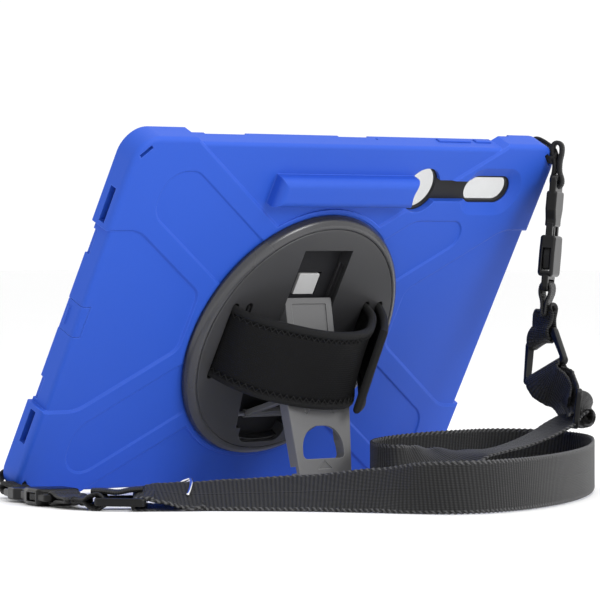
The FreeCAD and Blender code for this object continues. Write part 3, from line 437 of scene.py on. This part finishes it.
def band_section(width, thickness, count):
    """Closed outline of a band's section, as (across, through) pairs, with round edges."""
    half, skin = width / 2, thickness / 2
    top = [(-half + skin + (width - thickness) * i / count, skin) for i in range(count + 1)]
    right = [(half - skin + skin * math.sin(a), skin * math.cos(a))
             for a in (math.pi / 4, math.pi / 2, 3 * math.pi / 4)]
    low = [(x, -skin) for x, _ in reversed(top)]
    left = [(-x, z) for x, z in reversed(right)]
    return top + right + low + left


def ribbon(name, centres, width_dirs, width, thickness, slot, finish=None, closed=False,
           count=12, selvedge=0.0, ripple=0.0, ripple_pitch=0.002):
    """Band of webbing along a line. width_dirs say which way its width lies at each point,
    selvedge is how far its edges wave in and out, ripple how high the ribs stand on its faces."""
    section = band_section(width, thickness, count)
    size = len(section)
    verts, uvs, faces = [], [], []
    total = 0.0
    last = len(centres)
    for i, centre in enumerate(centres):
        after = centres[(i + 1) % last] if closed or i + 1 < last else centre
        before = centres[i - 1] if closed or i > 0 else centre
        tangent = (after - before).normalized()
        if i:
            total += (centre - centres[i - 1]).length
        across = width_dirs[i] - tangent * width_dirs[i].dot(tangent)
        across.normalize()
        through = tangent.cross(across)
        wave = selvedge * math.sin(2 * math.pi * total / SELVEDGE_PITCH)
        rib = ripple * math.sin(2 * math.pi * total / ripple_pitch)
        for x, z in section:
            side = 1.0 + (wave if abs(x) > width * RIM_SHARE else 0) / (width / 2)
            lift = z + (math.copysign(rib, z) if abs(x) < width * RIM_SHARE else 0)
            spot = centre + across * (x * side) + through * lift
            spot.z = max(spot.z, TABLE_GAP)
            verts.append(spot)
            uvs.append((total, x + width / 2))
    rings = last if closed else last - 1
    for i in range(rings):
        one, two = i * size, ((i + 1) % last) * size
        for j in range(size):
            k = (j + 1) % size
            faces.append((one + j, one + k, two + k, two + j))
    if not closed:
        faces.append(tuple(range(size)))
        faces.append(tuple(reversed(range((last - 1) * size, last * size))))
    return mesh_object(name, verts, faces, uvs, slot, finish)


def tube(name, points, radius, slot, sides, finish=None):
    """Round cord or wire along a line."""
    verts, uvs, faces = [], [], []
    normal = None
    total = 0.0
    last = len(points)
    for i, point in enumerate(points):
        after = points[i + 1] if i + 1 < last else point
        before = points[i - 1] if i > 0 else point
        tangent = (after - before).normalized()
        if i:
            total += (point - points[i - 1]).length
        if normal is None:
            normal = tangent.orthogonal().normalized()
        normal = (normal - tangent * normal.dot(tangent)).normalized()
        other = tangent.cross(normal)
        for j in range(sides):
            angle = 2 * math.pi * j / sides
            verts.append(point + (normal * math.cos(angle) + other * math.sin(angle)) * radius)
            uvs.append((total, radius * angle))
    for i in range(last - 1):
        one, two = i * sides, (i + 1) * sides
        for j in range(sides):
            k = (j + 1) % sides
            faces.append((one + j, one + k, two + k, two + j))
    faces.append(tuple(reversed(range(sides))))
    faces.append(tuple(range((last - 1) * sides, last * sides)))
    return mesh_object(name, verts, faces, uvs, slot, finish)


def piece(obj, body, slot, *nodes):
    """Hang the piece on its body and hide the CAD nodes it replaces. The slot is not used."""
    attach(obj, body)
    if nodes:
        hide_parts(*nodes)
    return obj


# ------------------------------------------------------------------ hand strap

# lengths in mm; a place across the strap is a share of half its width, from -1 to 1
STRAP_W = 46.0
ROLL, ROLL_R = 4.6, 2.3    # rolled border: how wide, and half how thick
VALLEY_W, VALLEY = 1.6, 0.6                # sewn valley beside it: how wide, how deep
PAD, CROWN = 1.35, 0.35    # half the padding's thickness, and what its middle adds
SKIN = 0.15                # half thickness where the border ends
SLOT_OUT, SLOT_IN = 58.6, 47.6
UNDER_W = 0.2              # the strap's middle line where it passes under a bar
STRAP_STEPS = 420          # sections along the strap
ROWS, EDGE_ROW = 20, 0.998                 # points from the middle to an edge, and the last one
BORDER_ROWS = (0.805, 0.82, 0.83, 0.87, 0.97, 0.985)   # extra ones over the rolled border
START_THIN, START_RISE = 0.35, 12          # the hidden end starts thin and fills out
STITCH_LENGTH, STITCH_IN, STITCH_OUT = 2.1, 0.73, 0.84 # zigzag's step, and its two sides
STITCH_R, TAIL_STITCH_R = 0.00042, 0.00033             # in metres
STITCH_OFF = 0.1           # thread's middle above the fabric
TAIL_STITCHES, TAIL_REACH = 26, 0.76
TAIL_SHARE, TAIL_STEP = 0.964, 0.008       # where the box seam lies along the strap


def strap_line(low):
    """Middle line (u, w) of the hand strap along its upper or its lower edge."""
    if low:
        crown = [(-53.0, 22.0), (-38.0, 37.0), (-12.0, 46.6), (7.0, 48.2), (20.0, 45.6),
                 (29.5, 35.5), (38.0, 21.0)]
        outer = [(59.2, 8.0), (53.0, 19.0), (43.0, 30.5), (34.0, 41.0), (26.0, 49.0),
                 (17.5, 53.6)]
    else:
        crown = [(-54.0, 17.0), (-40.0, 26.0), (-14.0, 38.6), (8.0, 40.0), (24.0, 36.0),
                 (37.0, 25.0), (44.0, 17.0)]
        outer = [(59.0, 5.5), (55.6, 12.5), (50.6, 20.0), (45.0, 27.0), (39.4, 33.0),
                 (34.0, 38.0)]
    under = [(-SLOT_IN - 0.2, 6.6), (-SLOT_IN - 0.4, UNDER_W), (-SLOT_OUT + 0.4, UNDER_W),
             (-SLOT_OUT, 8.0)]
    bar = [(47.4, 9.0), (SLOT_IN + 0.2, UNDER_W), (SLOT_OUT - 0.2, UNDER_W)]
    return [Vector((u, w, 0)) for u, w in under + crown + bar + outer]


def strap_point(lines, totals, share, q, lift):
    """Point of the strap: share along it, q from -1 to 1 across it, lift off its middle line."""
    spots, normals = [], []
    near = 0.002
    for line, total in zip(lines, totals):
        here = at_length(line, total, total[-1] * share)
        ahead = at_length(line, total, total[-1] * min(share + near, 1.0))
        behind = at_length(line, total, total[-1] * max(share - near, 0.0))
        along = (ahead - behind).normalized()
        spots.append(here)
        normals.append(Vector((-along.y, along.x, 0)))
    mix = (q + 1) / 2
    spot = spots[0].lerp(spots[1], mix)
    normal = normals[0].lerp(normals[1], mix).normalized()
    spot = spot + normal * lift
    return on_case(spot.x, HUB_V + STRAP_W / 2 * q, spot.y)


def strap_thickness(q, from_end=1000.0):
    """Half thickness: padded middle, a sewn valley, and a rolled border. from_end is the way to
    the free end, which has the border too."""
    border = min((1 - abs(q)) * STRAP_W / 2, from_end)
    if border < ROLL:
        return ROLL_R * math.sqrt(max(0.0, 1 - ((2 * border - ROLL) / ROLL) ** 2)) + SKIN
    valley = max(0.0, 1 - (border - ROLL) / VALLEY_W)
    return PAD + CROWN * math.cos(abs(q) * math.pi / 2) - VALLEY * valley


def hand_strap():
    """Padded strap in one closed mesh: its two faces, its edges and its ends."""
    lines = [rounded_line(strap_line(low)) for low in (True, False)]
    totals = [lengths_along(line) for line in lines]
    length = totals[0][-1]
    across = sorted({i / ROWS * EDGE_ROW for i in range(-ROWS, ROWS + 1)} |
                    {sign * q for q in BORDER_ROWS for sign in (1, -1)})
    verts, uvs, faces = [], [], []
    width = len(across)
    for side in (1, -1):
        for i in range(STRAP_STEPS + 1):
            share = i / STRAP_STEPS
            taper = min(1.0, START_THIN + START_RISE * share)
            for q in across:
                thick = strap_thickness(q, (1 - share) * length)
                verts.append(strap_point(lines, totals, share, q, side * thick * taper))
                uvs.append((length * share * MM, STRAP_W / 2 * q * MM))
    size = (STRAP_STEPS + 1) * width
    for i in range(STRAP_STEPS):
        a, b = i * width, (i + 1) * width
        for j in range(width - 1):
            faces.append((a + j, a + j + 1, b + j + 1, b + j))
            faces.append((size + a + j, size + b + j, size + b + j + 1, size + a + j + 1))
        faces.append((a, b, size + b, size + a))
        a, b = a + width - 1, b + width - 1
        faces.append((a, size + a, size + b, b))
    for j in range(width - 1):
        end = STRAP_STEPS * width + j
        faces.append((j, size + j, size + j + 1, j + 1))
        faces.append((end, end + 1, size + end + 1, size + end))
    strap = mesh_object("hand_strap_pad", verts, faces, uvs, "strap_fabric")
    strap.data.materials.append(SLOT_MATERIALS["strap_edge"])
    rolled = (STRAP_W / 2 - ROLL) * MM
    ending = (length - ROLL) * MM
    for polygon in strap.data.polygons:
        spots = [uvs[v] for v in polygon.vertices]
        if min(abs(v) for _, v in spots) > rolled or min(u for u, _ in spots) > ending:
            polygon.material_index = 1
    piece(strap, "disc", "strap_fabric", "hand_strap")
    stitches(lines, totals)


def seam(name, points, radius):
    thread = tube(name, points, radius, "strap_fabric", 6, SLOT_MATERIALS["thread"])
    piece(thread, "disc", "strap_fabric")


def stitches(lines, totals):
    """Zigzag seams just inside both borders, and the box seam on the folded tail."""
    count = round(totals[0][-1] / STITCH_LENGTH)
    for name, edge in (("upper", 1), ("lower", -1)):
        points = []
        for i in range(4, round(count * 0.8)):         # from past the hidden end to the fold
            q = edge * (STITCH_OUT if i % 2 else STITCH_IN)
            points.append(strap_point(lines, totals, i / count, q,
                                      strap_thickness(q) + STITCH_OFF))
        seam("hand_strap_stitch_" + name, points, STITCH_R)
    points = []
    for i in range(TAIL_STITCHES + 1):
        q = -TAIL_REACH + 2 * TAIL_REACH * i / TAIL_STITCHES
        share = TAIL_SHARE + (TAIL_STEP if i % 2 else 0.0)
        points.append(strap_point(lines, totals, share, q, -strap_thickness(q) - STITCH_OFF))
    seam("hand_strap_stitch_tail", points, TAIL_STITCH_R)


# ------------------------------------------------------------------ shoulder strap

WEB_STEP = 0.0009          # between a webbing's sections
SELVEDGE_WAVE = 0.00028    # how far its edges wave in and out
RIB_PITCH = 0.0021         # between the ribs of the link webbing
SLIDER = Vector((0.1531, -0.0895, 0.0455))
TURN_TILT = math.radians(24)

# the right ring: its short bar's middle, the way down to its wide bar, and along its bars
RING_BAR = Vector((0.1618, -0.0530, 0.0869))
RING_DOWN = Vector((-0.331, -0.432, -0.84)).normalized()
RING_ACROSS = Vector((0.05, -0.8965, 0.44)).normalized()

# Route of the webbing's middle line, and how many degrees its width stands above level there.
ROUTE = [
    ((-0.1889, -0.0819, 0.0094), 12), ((-0.1836, -0.0872, 0.0094), 18),
    ((-0.1719, -0.0960, 0.0074), 27), ((-0.1559, -0.1134, 0.0081), 33),
    ((-0.1309, -0.1453, 0.0094), 40), ((-0.1135, -0.1844, 0.0119), 55),
    ((-0.1077, -0.2192, 0.0142), 82), ((-0.0912, -0.2356, 0.0145), 90),
    ((-0.0518, -0.2326, 0.0146), 90), ((0.0014, -0.2121, 0.0147), 90),
    ((0.0600, -0.1788, 0.0150), 90), ((0.1150, -0.1360, 0.0155), 90),
    ((0.1560, -0.0970, 0.0165), 90), ((0.1640, -0.0600, 0.0180), 90),
    ((0.1360, -0.0380, 0.0190), 90), ((0.0980, -0.0400, 0.0190), 90),
    ((0.0731, -0.0323, 0.0180), 90), ((0.0493, -0.0284, 0.0162), 90),
    ((0.0278, -0.0395, 0.0152), 90), ((0.0092, -0.0632, 0.0147), 90),
    ((0.0042, -0.0823, 0.0146), 85), ((0.0211, -0.0850, 0.0146), 62),
    ((0.0470, -0.0825, 0.0180), 28), ((0.0716, -0.0816, 0.0218), 2),
    ((0.0938, -0.0840, 0.0230), -4), ((0.1118, -0.0850, 0.0266), -5),
    ((0.1294, -0.0856, 0.0316), -5), ((0.1428, -0.0862, 0.0374), -2),
    ((0.1504, -0.0882, 0.0420), 0), ((0.1554, -0.0917, 0.0450), 2)]


def route_angles(points):
    """How steeply the width stands at each point of the line, eased from one point of the
    route to the next."""
    corners = [Vector(place) for place, _ in ROUTE]
    marks = lengths_along(corners)
    angles = [angle for _, angle in ROUTE]
    totals = lengths_along(points)
    result = []
    for total in totals:
        mark = total / totals[-1] * marks[-1]
        k = 0                      # the route's point just before this one
        while k < len(marks) - 2 and marks[k + 1] < mark:
            k += 1
        share = min(max((mark - marks[k]) / (marks[k + 1] - marks[k]), 0), 1)
        share = share * share * (3 - 2 * share)
        result.append(math.radians(angles[k] + (angles[k + 1] - angles[k]) * share))
    return result


def webbing(name, line, widths):
    """Stretch of the shoulder webbing."""
    return ribbon(name, line, widths, WEB_W, WEB_THICK, "webbing", selvedge=SELVEDGE_WAVE)


def shoulder_strap():
    line = evenly(spline_points("strap_route", [place for place, _ in ROUTE]), WEB_STEP)
    widths = []
    for i, angle in enumerate(route_angles(line)):
        along = (line[min(i + 1, len(line) - 1)] - line[max(i - 1, 0)]).normalized()
        level = UP.cross(along).normalized()
        widths.append(level * math.cos(angle) + UP * math.sin(angle))
    strap = webbing("shoulder_strap_webbing", line, widths)
    piece(strap, "case", "webbing", "shoulder_strap")
    return strap, line


def fold_left():
    """Fold of the webbing round the left ring's wide bar, back over the lying webbing."""
    bar = Vector((-0.1892, -0.0816, 0.0049))
    fold = [bar + SIDEWAYS * 0.0060 + UP * 0.0046, bar + UP * 0.0046,
            bar - SIDEWAYS * 0.0050 + UP * 0.0034, bar - SIDEWAYS * 0.0054 - UP * 0.0030,
            bar - UP * 0.0038, bar + SIDEWAYS * 0.012 - UP * 0.0038,
            bar + SIDEWAYS * 0.020 - UP * 0.0030,
            bar + SIDEWAYS * 0.030 + DEEP * 0.002 + UP * 0.0006]
    line = evenly(rounded_line(fold), WEB_STEP)
    widths = []
    for i in range(len(line)):
        share = i / (len(line) - 1)
        lean = math.radians(12 - 16 * share if share < 0.5 else 4 + 26 * (share - 0.5))
        widths.append(DEEP * math.cos(lean) + UP * math.sin(lean))
    return piece(webbing("strap_fold_left", line, widths), "case", "webbing")


def riser():
    """Doubled ribbed band from the right slider up round the right ring's wide bar."""
    wide = RING_BAR + RING_DOWN * 0.0244
    face = RING_DOWN.cross(RING_ACROSS).normalized()
    loop = [SLIDER - SIDEWAYS * 0.0035 + UP * 0.0015, SLIDER - SIDEWAYS * 0.0030 + UP * 0.0070,
            SLIDER.lerp(wide, 0.55) - face * 0.0026, wide + RING_DOWN * 0.007 - face * 0.0030,
            wide - face * 0.0032, wide - RING_DOWN * 0.0036, wide + face * 0.0032,
            wide + RING_DOWN * 0.007 + face * 0.0028, SLIDER.lerp(wide, 0.45) + face * 0.001,
            SLIDER - SIDEWAYS * 0.0060 - UP * 0.0010]
    line = evenly(rounded_line(loop), WEB_STEP)
    widths = []
    for i in range(len(line)):
        share = abs(2 * i / (len(line) - 1) - 1)       # 1 at the slider, 0 at the ring
        near = max(0.0, share - 0.35) / 0.65
        widths.append(RING_ACROSS.lerp(-DEEP, near * 0.8).normalized())
    double = ribbon("strap_riser_webbing", line, widths, WEB_W, WEB_THICK, "webbing",
                    SLOT_MATERIALS["link_webbing"], selvedge=0.0002, ripple=0.00012,
                    ripple_pitch=RIB_PITCH)
    return piece(double, "case", "webbing", "strap_riser")


def turn_right():
    """Turn of the shoulder webbing through the right slider."""
    loop = [SLIDER - SIDEWAYS * 0.0060 - UP * 0.0040, SLIDER + SIDEWAYS * 0.001 - UP * 0.0052,
            SLIDER + SIDEWAYS * 0.0062 - UP * 0.0044, SLIDER + SIDEWAYS * 0.0078 + UP * 0.0006,
            SLIDER + SIDEWAYS * 0.0046 + UP * 0.0044, SLIDER - SIDEWAYS * 0.0010 + UP * 0.0046,
            SLIDER - SIDEWAYS * 0.0090 + UP * 0.0002]
    line = evenly(rounded_line(loop), WEB_STEP)
    tilt = DEEP * math.cos(TURN_TILT) + UP * math.sin(TURN_TILT)
    return piece(webbing("strap_turn_right", line, [tilt] * len(line)), "case", "webbing")


# ------------------------------------------------------------------ webbing links and loops

LINK_W, LINK_THICK = 0.0165, 0.0017
BAR_OFF, SEWN_OFF = 0.0030, 0.0011         # a loop's middle line off a bar, and where it is sewn

# ways along and across what hangs from the right corner and what lies by the left one
HANG_ACROSS = Vector((0.856, 0.517, 0))
HANG_FACE = Vector((-0.517, 0.856, 0))
LIE_ALONG = Vector((-0.364, -0.932, 0))
LIE_ACROSS = Vector((0.932, -0.364, 0))
BUCKLE = 0.0683            # from a buckle's tie bar to its webbing bar


def pinched_loop(name, bar, along, through, across, reach, *nodes):
    """Ribbed webbing looped round a bar and sewn together at its far end."""
    along, through = along.normalized(), through.normalized()
    side = [(BAR_OFF, -0.0010), (BAR_OFF, 0.0030), (SEWN_OFF, 0.0080), (0.0010, reach - 0.0006)]
    corners = [bar + through * off + along * way for off, way in side]
    corners += [bar - through * off + along * way for off, way in reversed(side)]
    corners += [bar - along * 0.0036 - through * 0.0018, bar - along * 0.0036 + through * 0.0018]
    line = rounded_line(corners, closed=True)
    obj = ribbon(name, line, [across] * len(line), LINK_W, LINK_THICK, "webbing",
                 SLOT_MATERIALS["link_webbing"], closed=True, count=10, ripple=0.00016,
                 ripple_pitch=RIB_PITCH)
    return piece(obj, "case", "webbing", *nodes)


def crumpled(name, points, across, width):
    """Free end of ribbed webbing, waved and ridged."""
    line = evenly(rounded_line(points), 0.0006)
    obj = ribbon(name, line, [across] * len(line), width, 0.0019, "webbing",
                 SLOT_MATERIALS["link_webbing"], count=10, ripple=0.0003, ripple_pitch=0.0026)
    return piece(obj, "case", "webbing")


def links():
    """The webbing links between the buckles and the rings."""
    # right: from the hanging buckle to the ring
    down = Vector((-0.06, 0.06, -1)).normalized()
    bar = Vector((0.168, -0.0595, 0.184)) + down * BUCKLE
    found = [pinched_loop("link_right_upper", bar, down, down.cross(HANG_ACROSS), HANG_ACROSS,
                          0.016, "link_right"),
             pinched_loop("link_right_lower", RING_BAR, (bar + down * 0.0125) - RING_BAR,
                          RING_DOWN.cross(RING_ACROSS), RING_ACROSS, 0.0175)]
    # left: from the lying buckle to the ring, with its free end over the ring
    along = LIE_ALONG.normalized()
    across = LIE_ACROSS.normalized()
    start = Vector((-0.1766, 0.0326, 0.0049)) + along * BUCKLE
    found.append(pinched_loop("link_left_upper", start, along, UP, across, 0.024, "link_left"))
    bar = Vector((-0.2065, -0.0644, 0.0049))
    found.append(pinched_loop("link_left_lower", bar, (start + along * 0.021) - bar, UP, DEEP,
                              0.0145))
    tail = [(-0.004, 0.0052), (0.003, 0.0052), (0.010, 0.0040), (0.017, 0.0058), (0.024, 0.0062)]
    found.append(crumpled("link_left_tail", [bar + SIDEWAYS * way + DEEP * 0.006 + UP * high
                                             for way, high in tail], DEEP, 0.0175))
    return found


def corner_tape(name, su, sv, node):
    """Folded tape through a corner slot and round the corner; su and sv say which corner."""
    diagonal = (RIGHT * su + CASE_UP * sv).normalized()
    side = (RIGHT * su - CASE_UP * sv).normalized()
    base = on_case(su * CORNER_U, CASE_MIDDLE_V + sv * CORNER_V, 0)
    # out of the back, away from the middle
    corners = [(2.2, 0.4), (3.0, 3.0), (2.2, 5.8), (-2.0, 7.6), (-12.0, 7.6), (-17.0, 6.4),
               (-18.0, 3.2), (-17.0, 0.2), (-10.0, -0.1), (-4.0, -0.1)]
    line = rounded_line([base + OUT * out * MM + diagonal * away * MM for out, away in corners],
                        closed=True)
    obj = ribbon(name, line, [side] * len(line), 0.0066, 0.0019, "cord_fabric", closed=True,
                 count=8, ripple=0.0001, ripple_pitch=0.0016)
    piece(obj, "case", "cord_fabric", node)


def tie(name, points, across, node):
    """Fat doubled tape from a corner loop to the buckle."""
    line = rounded_line(points, closed=True)
    obj = ribbon(name, line, [across] * len(line), 0.0072, 0.0024, "cord_fabric", closed=True,
                 count=8, ripple=0.00012, ripple_pitch=0.0018)
    piece(obj, "case", "cord_fabric", node)


def loops():
    """What holds the buckles to the case's corners."""
    corner_tape("corner_tape_right", 1, 1, "corner_loop_right")
    corner_tape("corner_tape_left", -1, -1, "corner_loop_left")
    high, low = Vector((0.1672, -0.0606, 0.1990)), Vector((0.1678, -0.0597, 0.1795))
    # end, off its face, up
    path = [(high, 0.0026, 0.0030), (high, 0, 0.0046), (high, -0.0028, 0.0028),
            (high, -0.0028, -0.0020), (high, -0.0014, -0.0070), (low, -0.0014, 0.0060),
            (low, -0.0030, 0.0020), (low, -0.0028, -0.0016), (low, 0, -0.0036),
            (low, 0.0028, -0.0016), (low, 0.0030, 0.0020), (low, 0.0014, 0.0060),
            (high, 0.0014, -0.0070), (high, 0.0030, -0.0020)]
    tie("tie_tape_right", [end + HANG_FACE * off + UP * up for end, off, up in path],
        HANG_ACROSS, "tie_right")
    near, far = Vector((-0.1726, 0.0490, 0.0062)), Vector((-0.1782, 0.0280, 0.0049))
    tie("tie_tape_left", [
        near + UP * 0.0030, near - LIE_ALONG * 0.0040, near - UP * 0.0030,
        near.lerp(far, 0.4) - UP * 0.0014, near.lerp(far, 0.7) - UP * 0.0016, far - UP * 0.0030,
        far + LIE_ALONG * 0.0040, far + UP * 0.0030, near.lerp(far, 0.7) + UP * 0.0018,
        near.lerp(far, 0.4) + UP * 0.0018], LIE_ACROSS, "tie_left")


def keeper():
    """Bent wire clip over the webbing's upper edge, with its feet behind and in front of it."""
    middle = Vector((-0.1723, -0.0953, 0.0076))
    lean = math.radians(26)
    across = DEEP * math.cos(lean) + UP * math.sin(lean)
    face = UP * math.cos(lean) - DEEP * math.sin(lean)
    # across the webbing, off its face, along it
    wire = [(2.0, -2.2, -3.7), (12.0, -2.2, -3.7), (14.8, -1.8, -3.2), (15.9, 0.0, -1.0),
            (15.9, 0.8, 1.5), (14.8, 2.4, 3.5), (10.0, 2.4, 3.9), (1.0, 2.3, 3.0),
            (-3.0, 2.0, 2.0)]
    line = evenly(rounded_line([middle + (across * q + face * n + SIDEWAYS * t) * MM
                                for q, n, t in wire]), 0.0006)
    obj = tube("keeper_clip", line, 0.0009, "chrome_wire", 12)
    return piece(obj, "case", "chrome_wire", "keeper_left")


hand_strap()
webbing_piece, webbing_line = shoulder_strap()
ends = [fold_left(), riser(), turn_right()]
chain = links() + [keeper()]
loops()


# ------------------------------------------------------------------ stage, light and camera

FLOOR_REACH = 14.0
WORLD_LIGHT = 1.05
LIGHTS_AIM = (0, -0.02, 0.1)
CAMERA_PLACE = (-1.7962, -1.8147, 0.1451)
CAMERA_DOWN, CAMERA_TURN = 0.782, -44.8745             # degrees
CAMERA_LENS, CAMERA_FILM = 264.0, 36.0                 # mm


def floor():
    data = bpy.data.meshes.new("studio_floor")
    reach = FLOOR_REACH
    data.from_pydata([(-reach, -reach, 0), (reach, -reach, 0), (reach, reach, 0),
                      (-reach, reach, 0)], [], [(0, 1, 2, 3)])
    n = Nodes("floor_white", (0.93, 0.93, 0.93), 0.6)
    tone = n.noise(3.0, 2.0)
    n.set(Base_Color=n.mix(tone, (0.925, 0.925, 0.925, 1), (0.935, 0.935, 0.935, 1)),
          Specular_IOR_Level=0.2)
    data.materials.append(n.material)
    obj = bpy.data.objects.new("studio_floor", data)
    bpy.context.scene.collection.objects.link(obj)


def area_light(name, place, size, power):
    data = bpy.data.lights.new(name, "AREA")
    data.shape = "DISK"
    data.size = size
    data.energy = power
    obj = bpy.data.objects.new(name, data)
    obj.location = place
    direction = Vector(LIGHTS_AIM) - Vector(place)
    obj.rotation_euler = direction.to_track_quat("-Z", "Y").to_euler()
    bpy.context.scene.collection.objects.link(obj)


def lights():
    """White surroundings, a soft light to the right of the camera and one above."""
    world = bpy.data.worlds.new("studio")
    bpy.context.scene.world = world
    world.use_nodes = True
    background = world.node_tree.nodes["Background"]
    background.inputs["Color"].default_value = (1, 1, 1, 1)
    background.inputs["Strength"].default_value = WORLD_LIGHT
    area_light("key", (0.5, -2.2, 1.2), 1.0, 26)
    area_light("top", (0.1, -0.5, 2.1), 1.3, 12)


def camera():
    data = bpy.data.cameras.new("photo_view")
    data.lens = CAMERA_LENS
    data.sensor_width = CAMERA_FILM
    data.clip_start = 0.05
    obj = bpy.data.objects.new("photo_view", data)
    obj.location = CAMERA_PLACE
    obj.rotation_euler = (math.radians(90 - CAMERA_DOWN), 0, math.radians(CAMERA_TURN))
    bpy.context.scene.collection.objects.link(obj)
    bpy.context.scene.camera = obj


floor()
lights()
camera()
scene = bpy.context.scene
scene.view_settings.view_transform = "Standard"
scene.view_settings.look = "None"

bpy.context.view_layer.update()
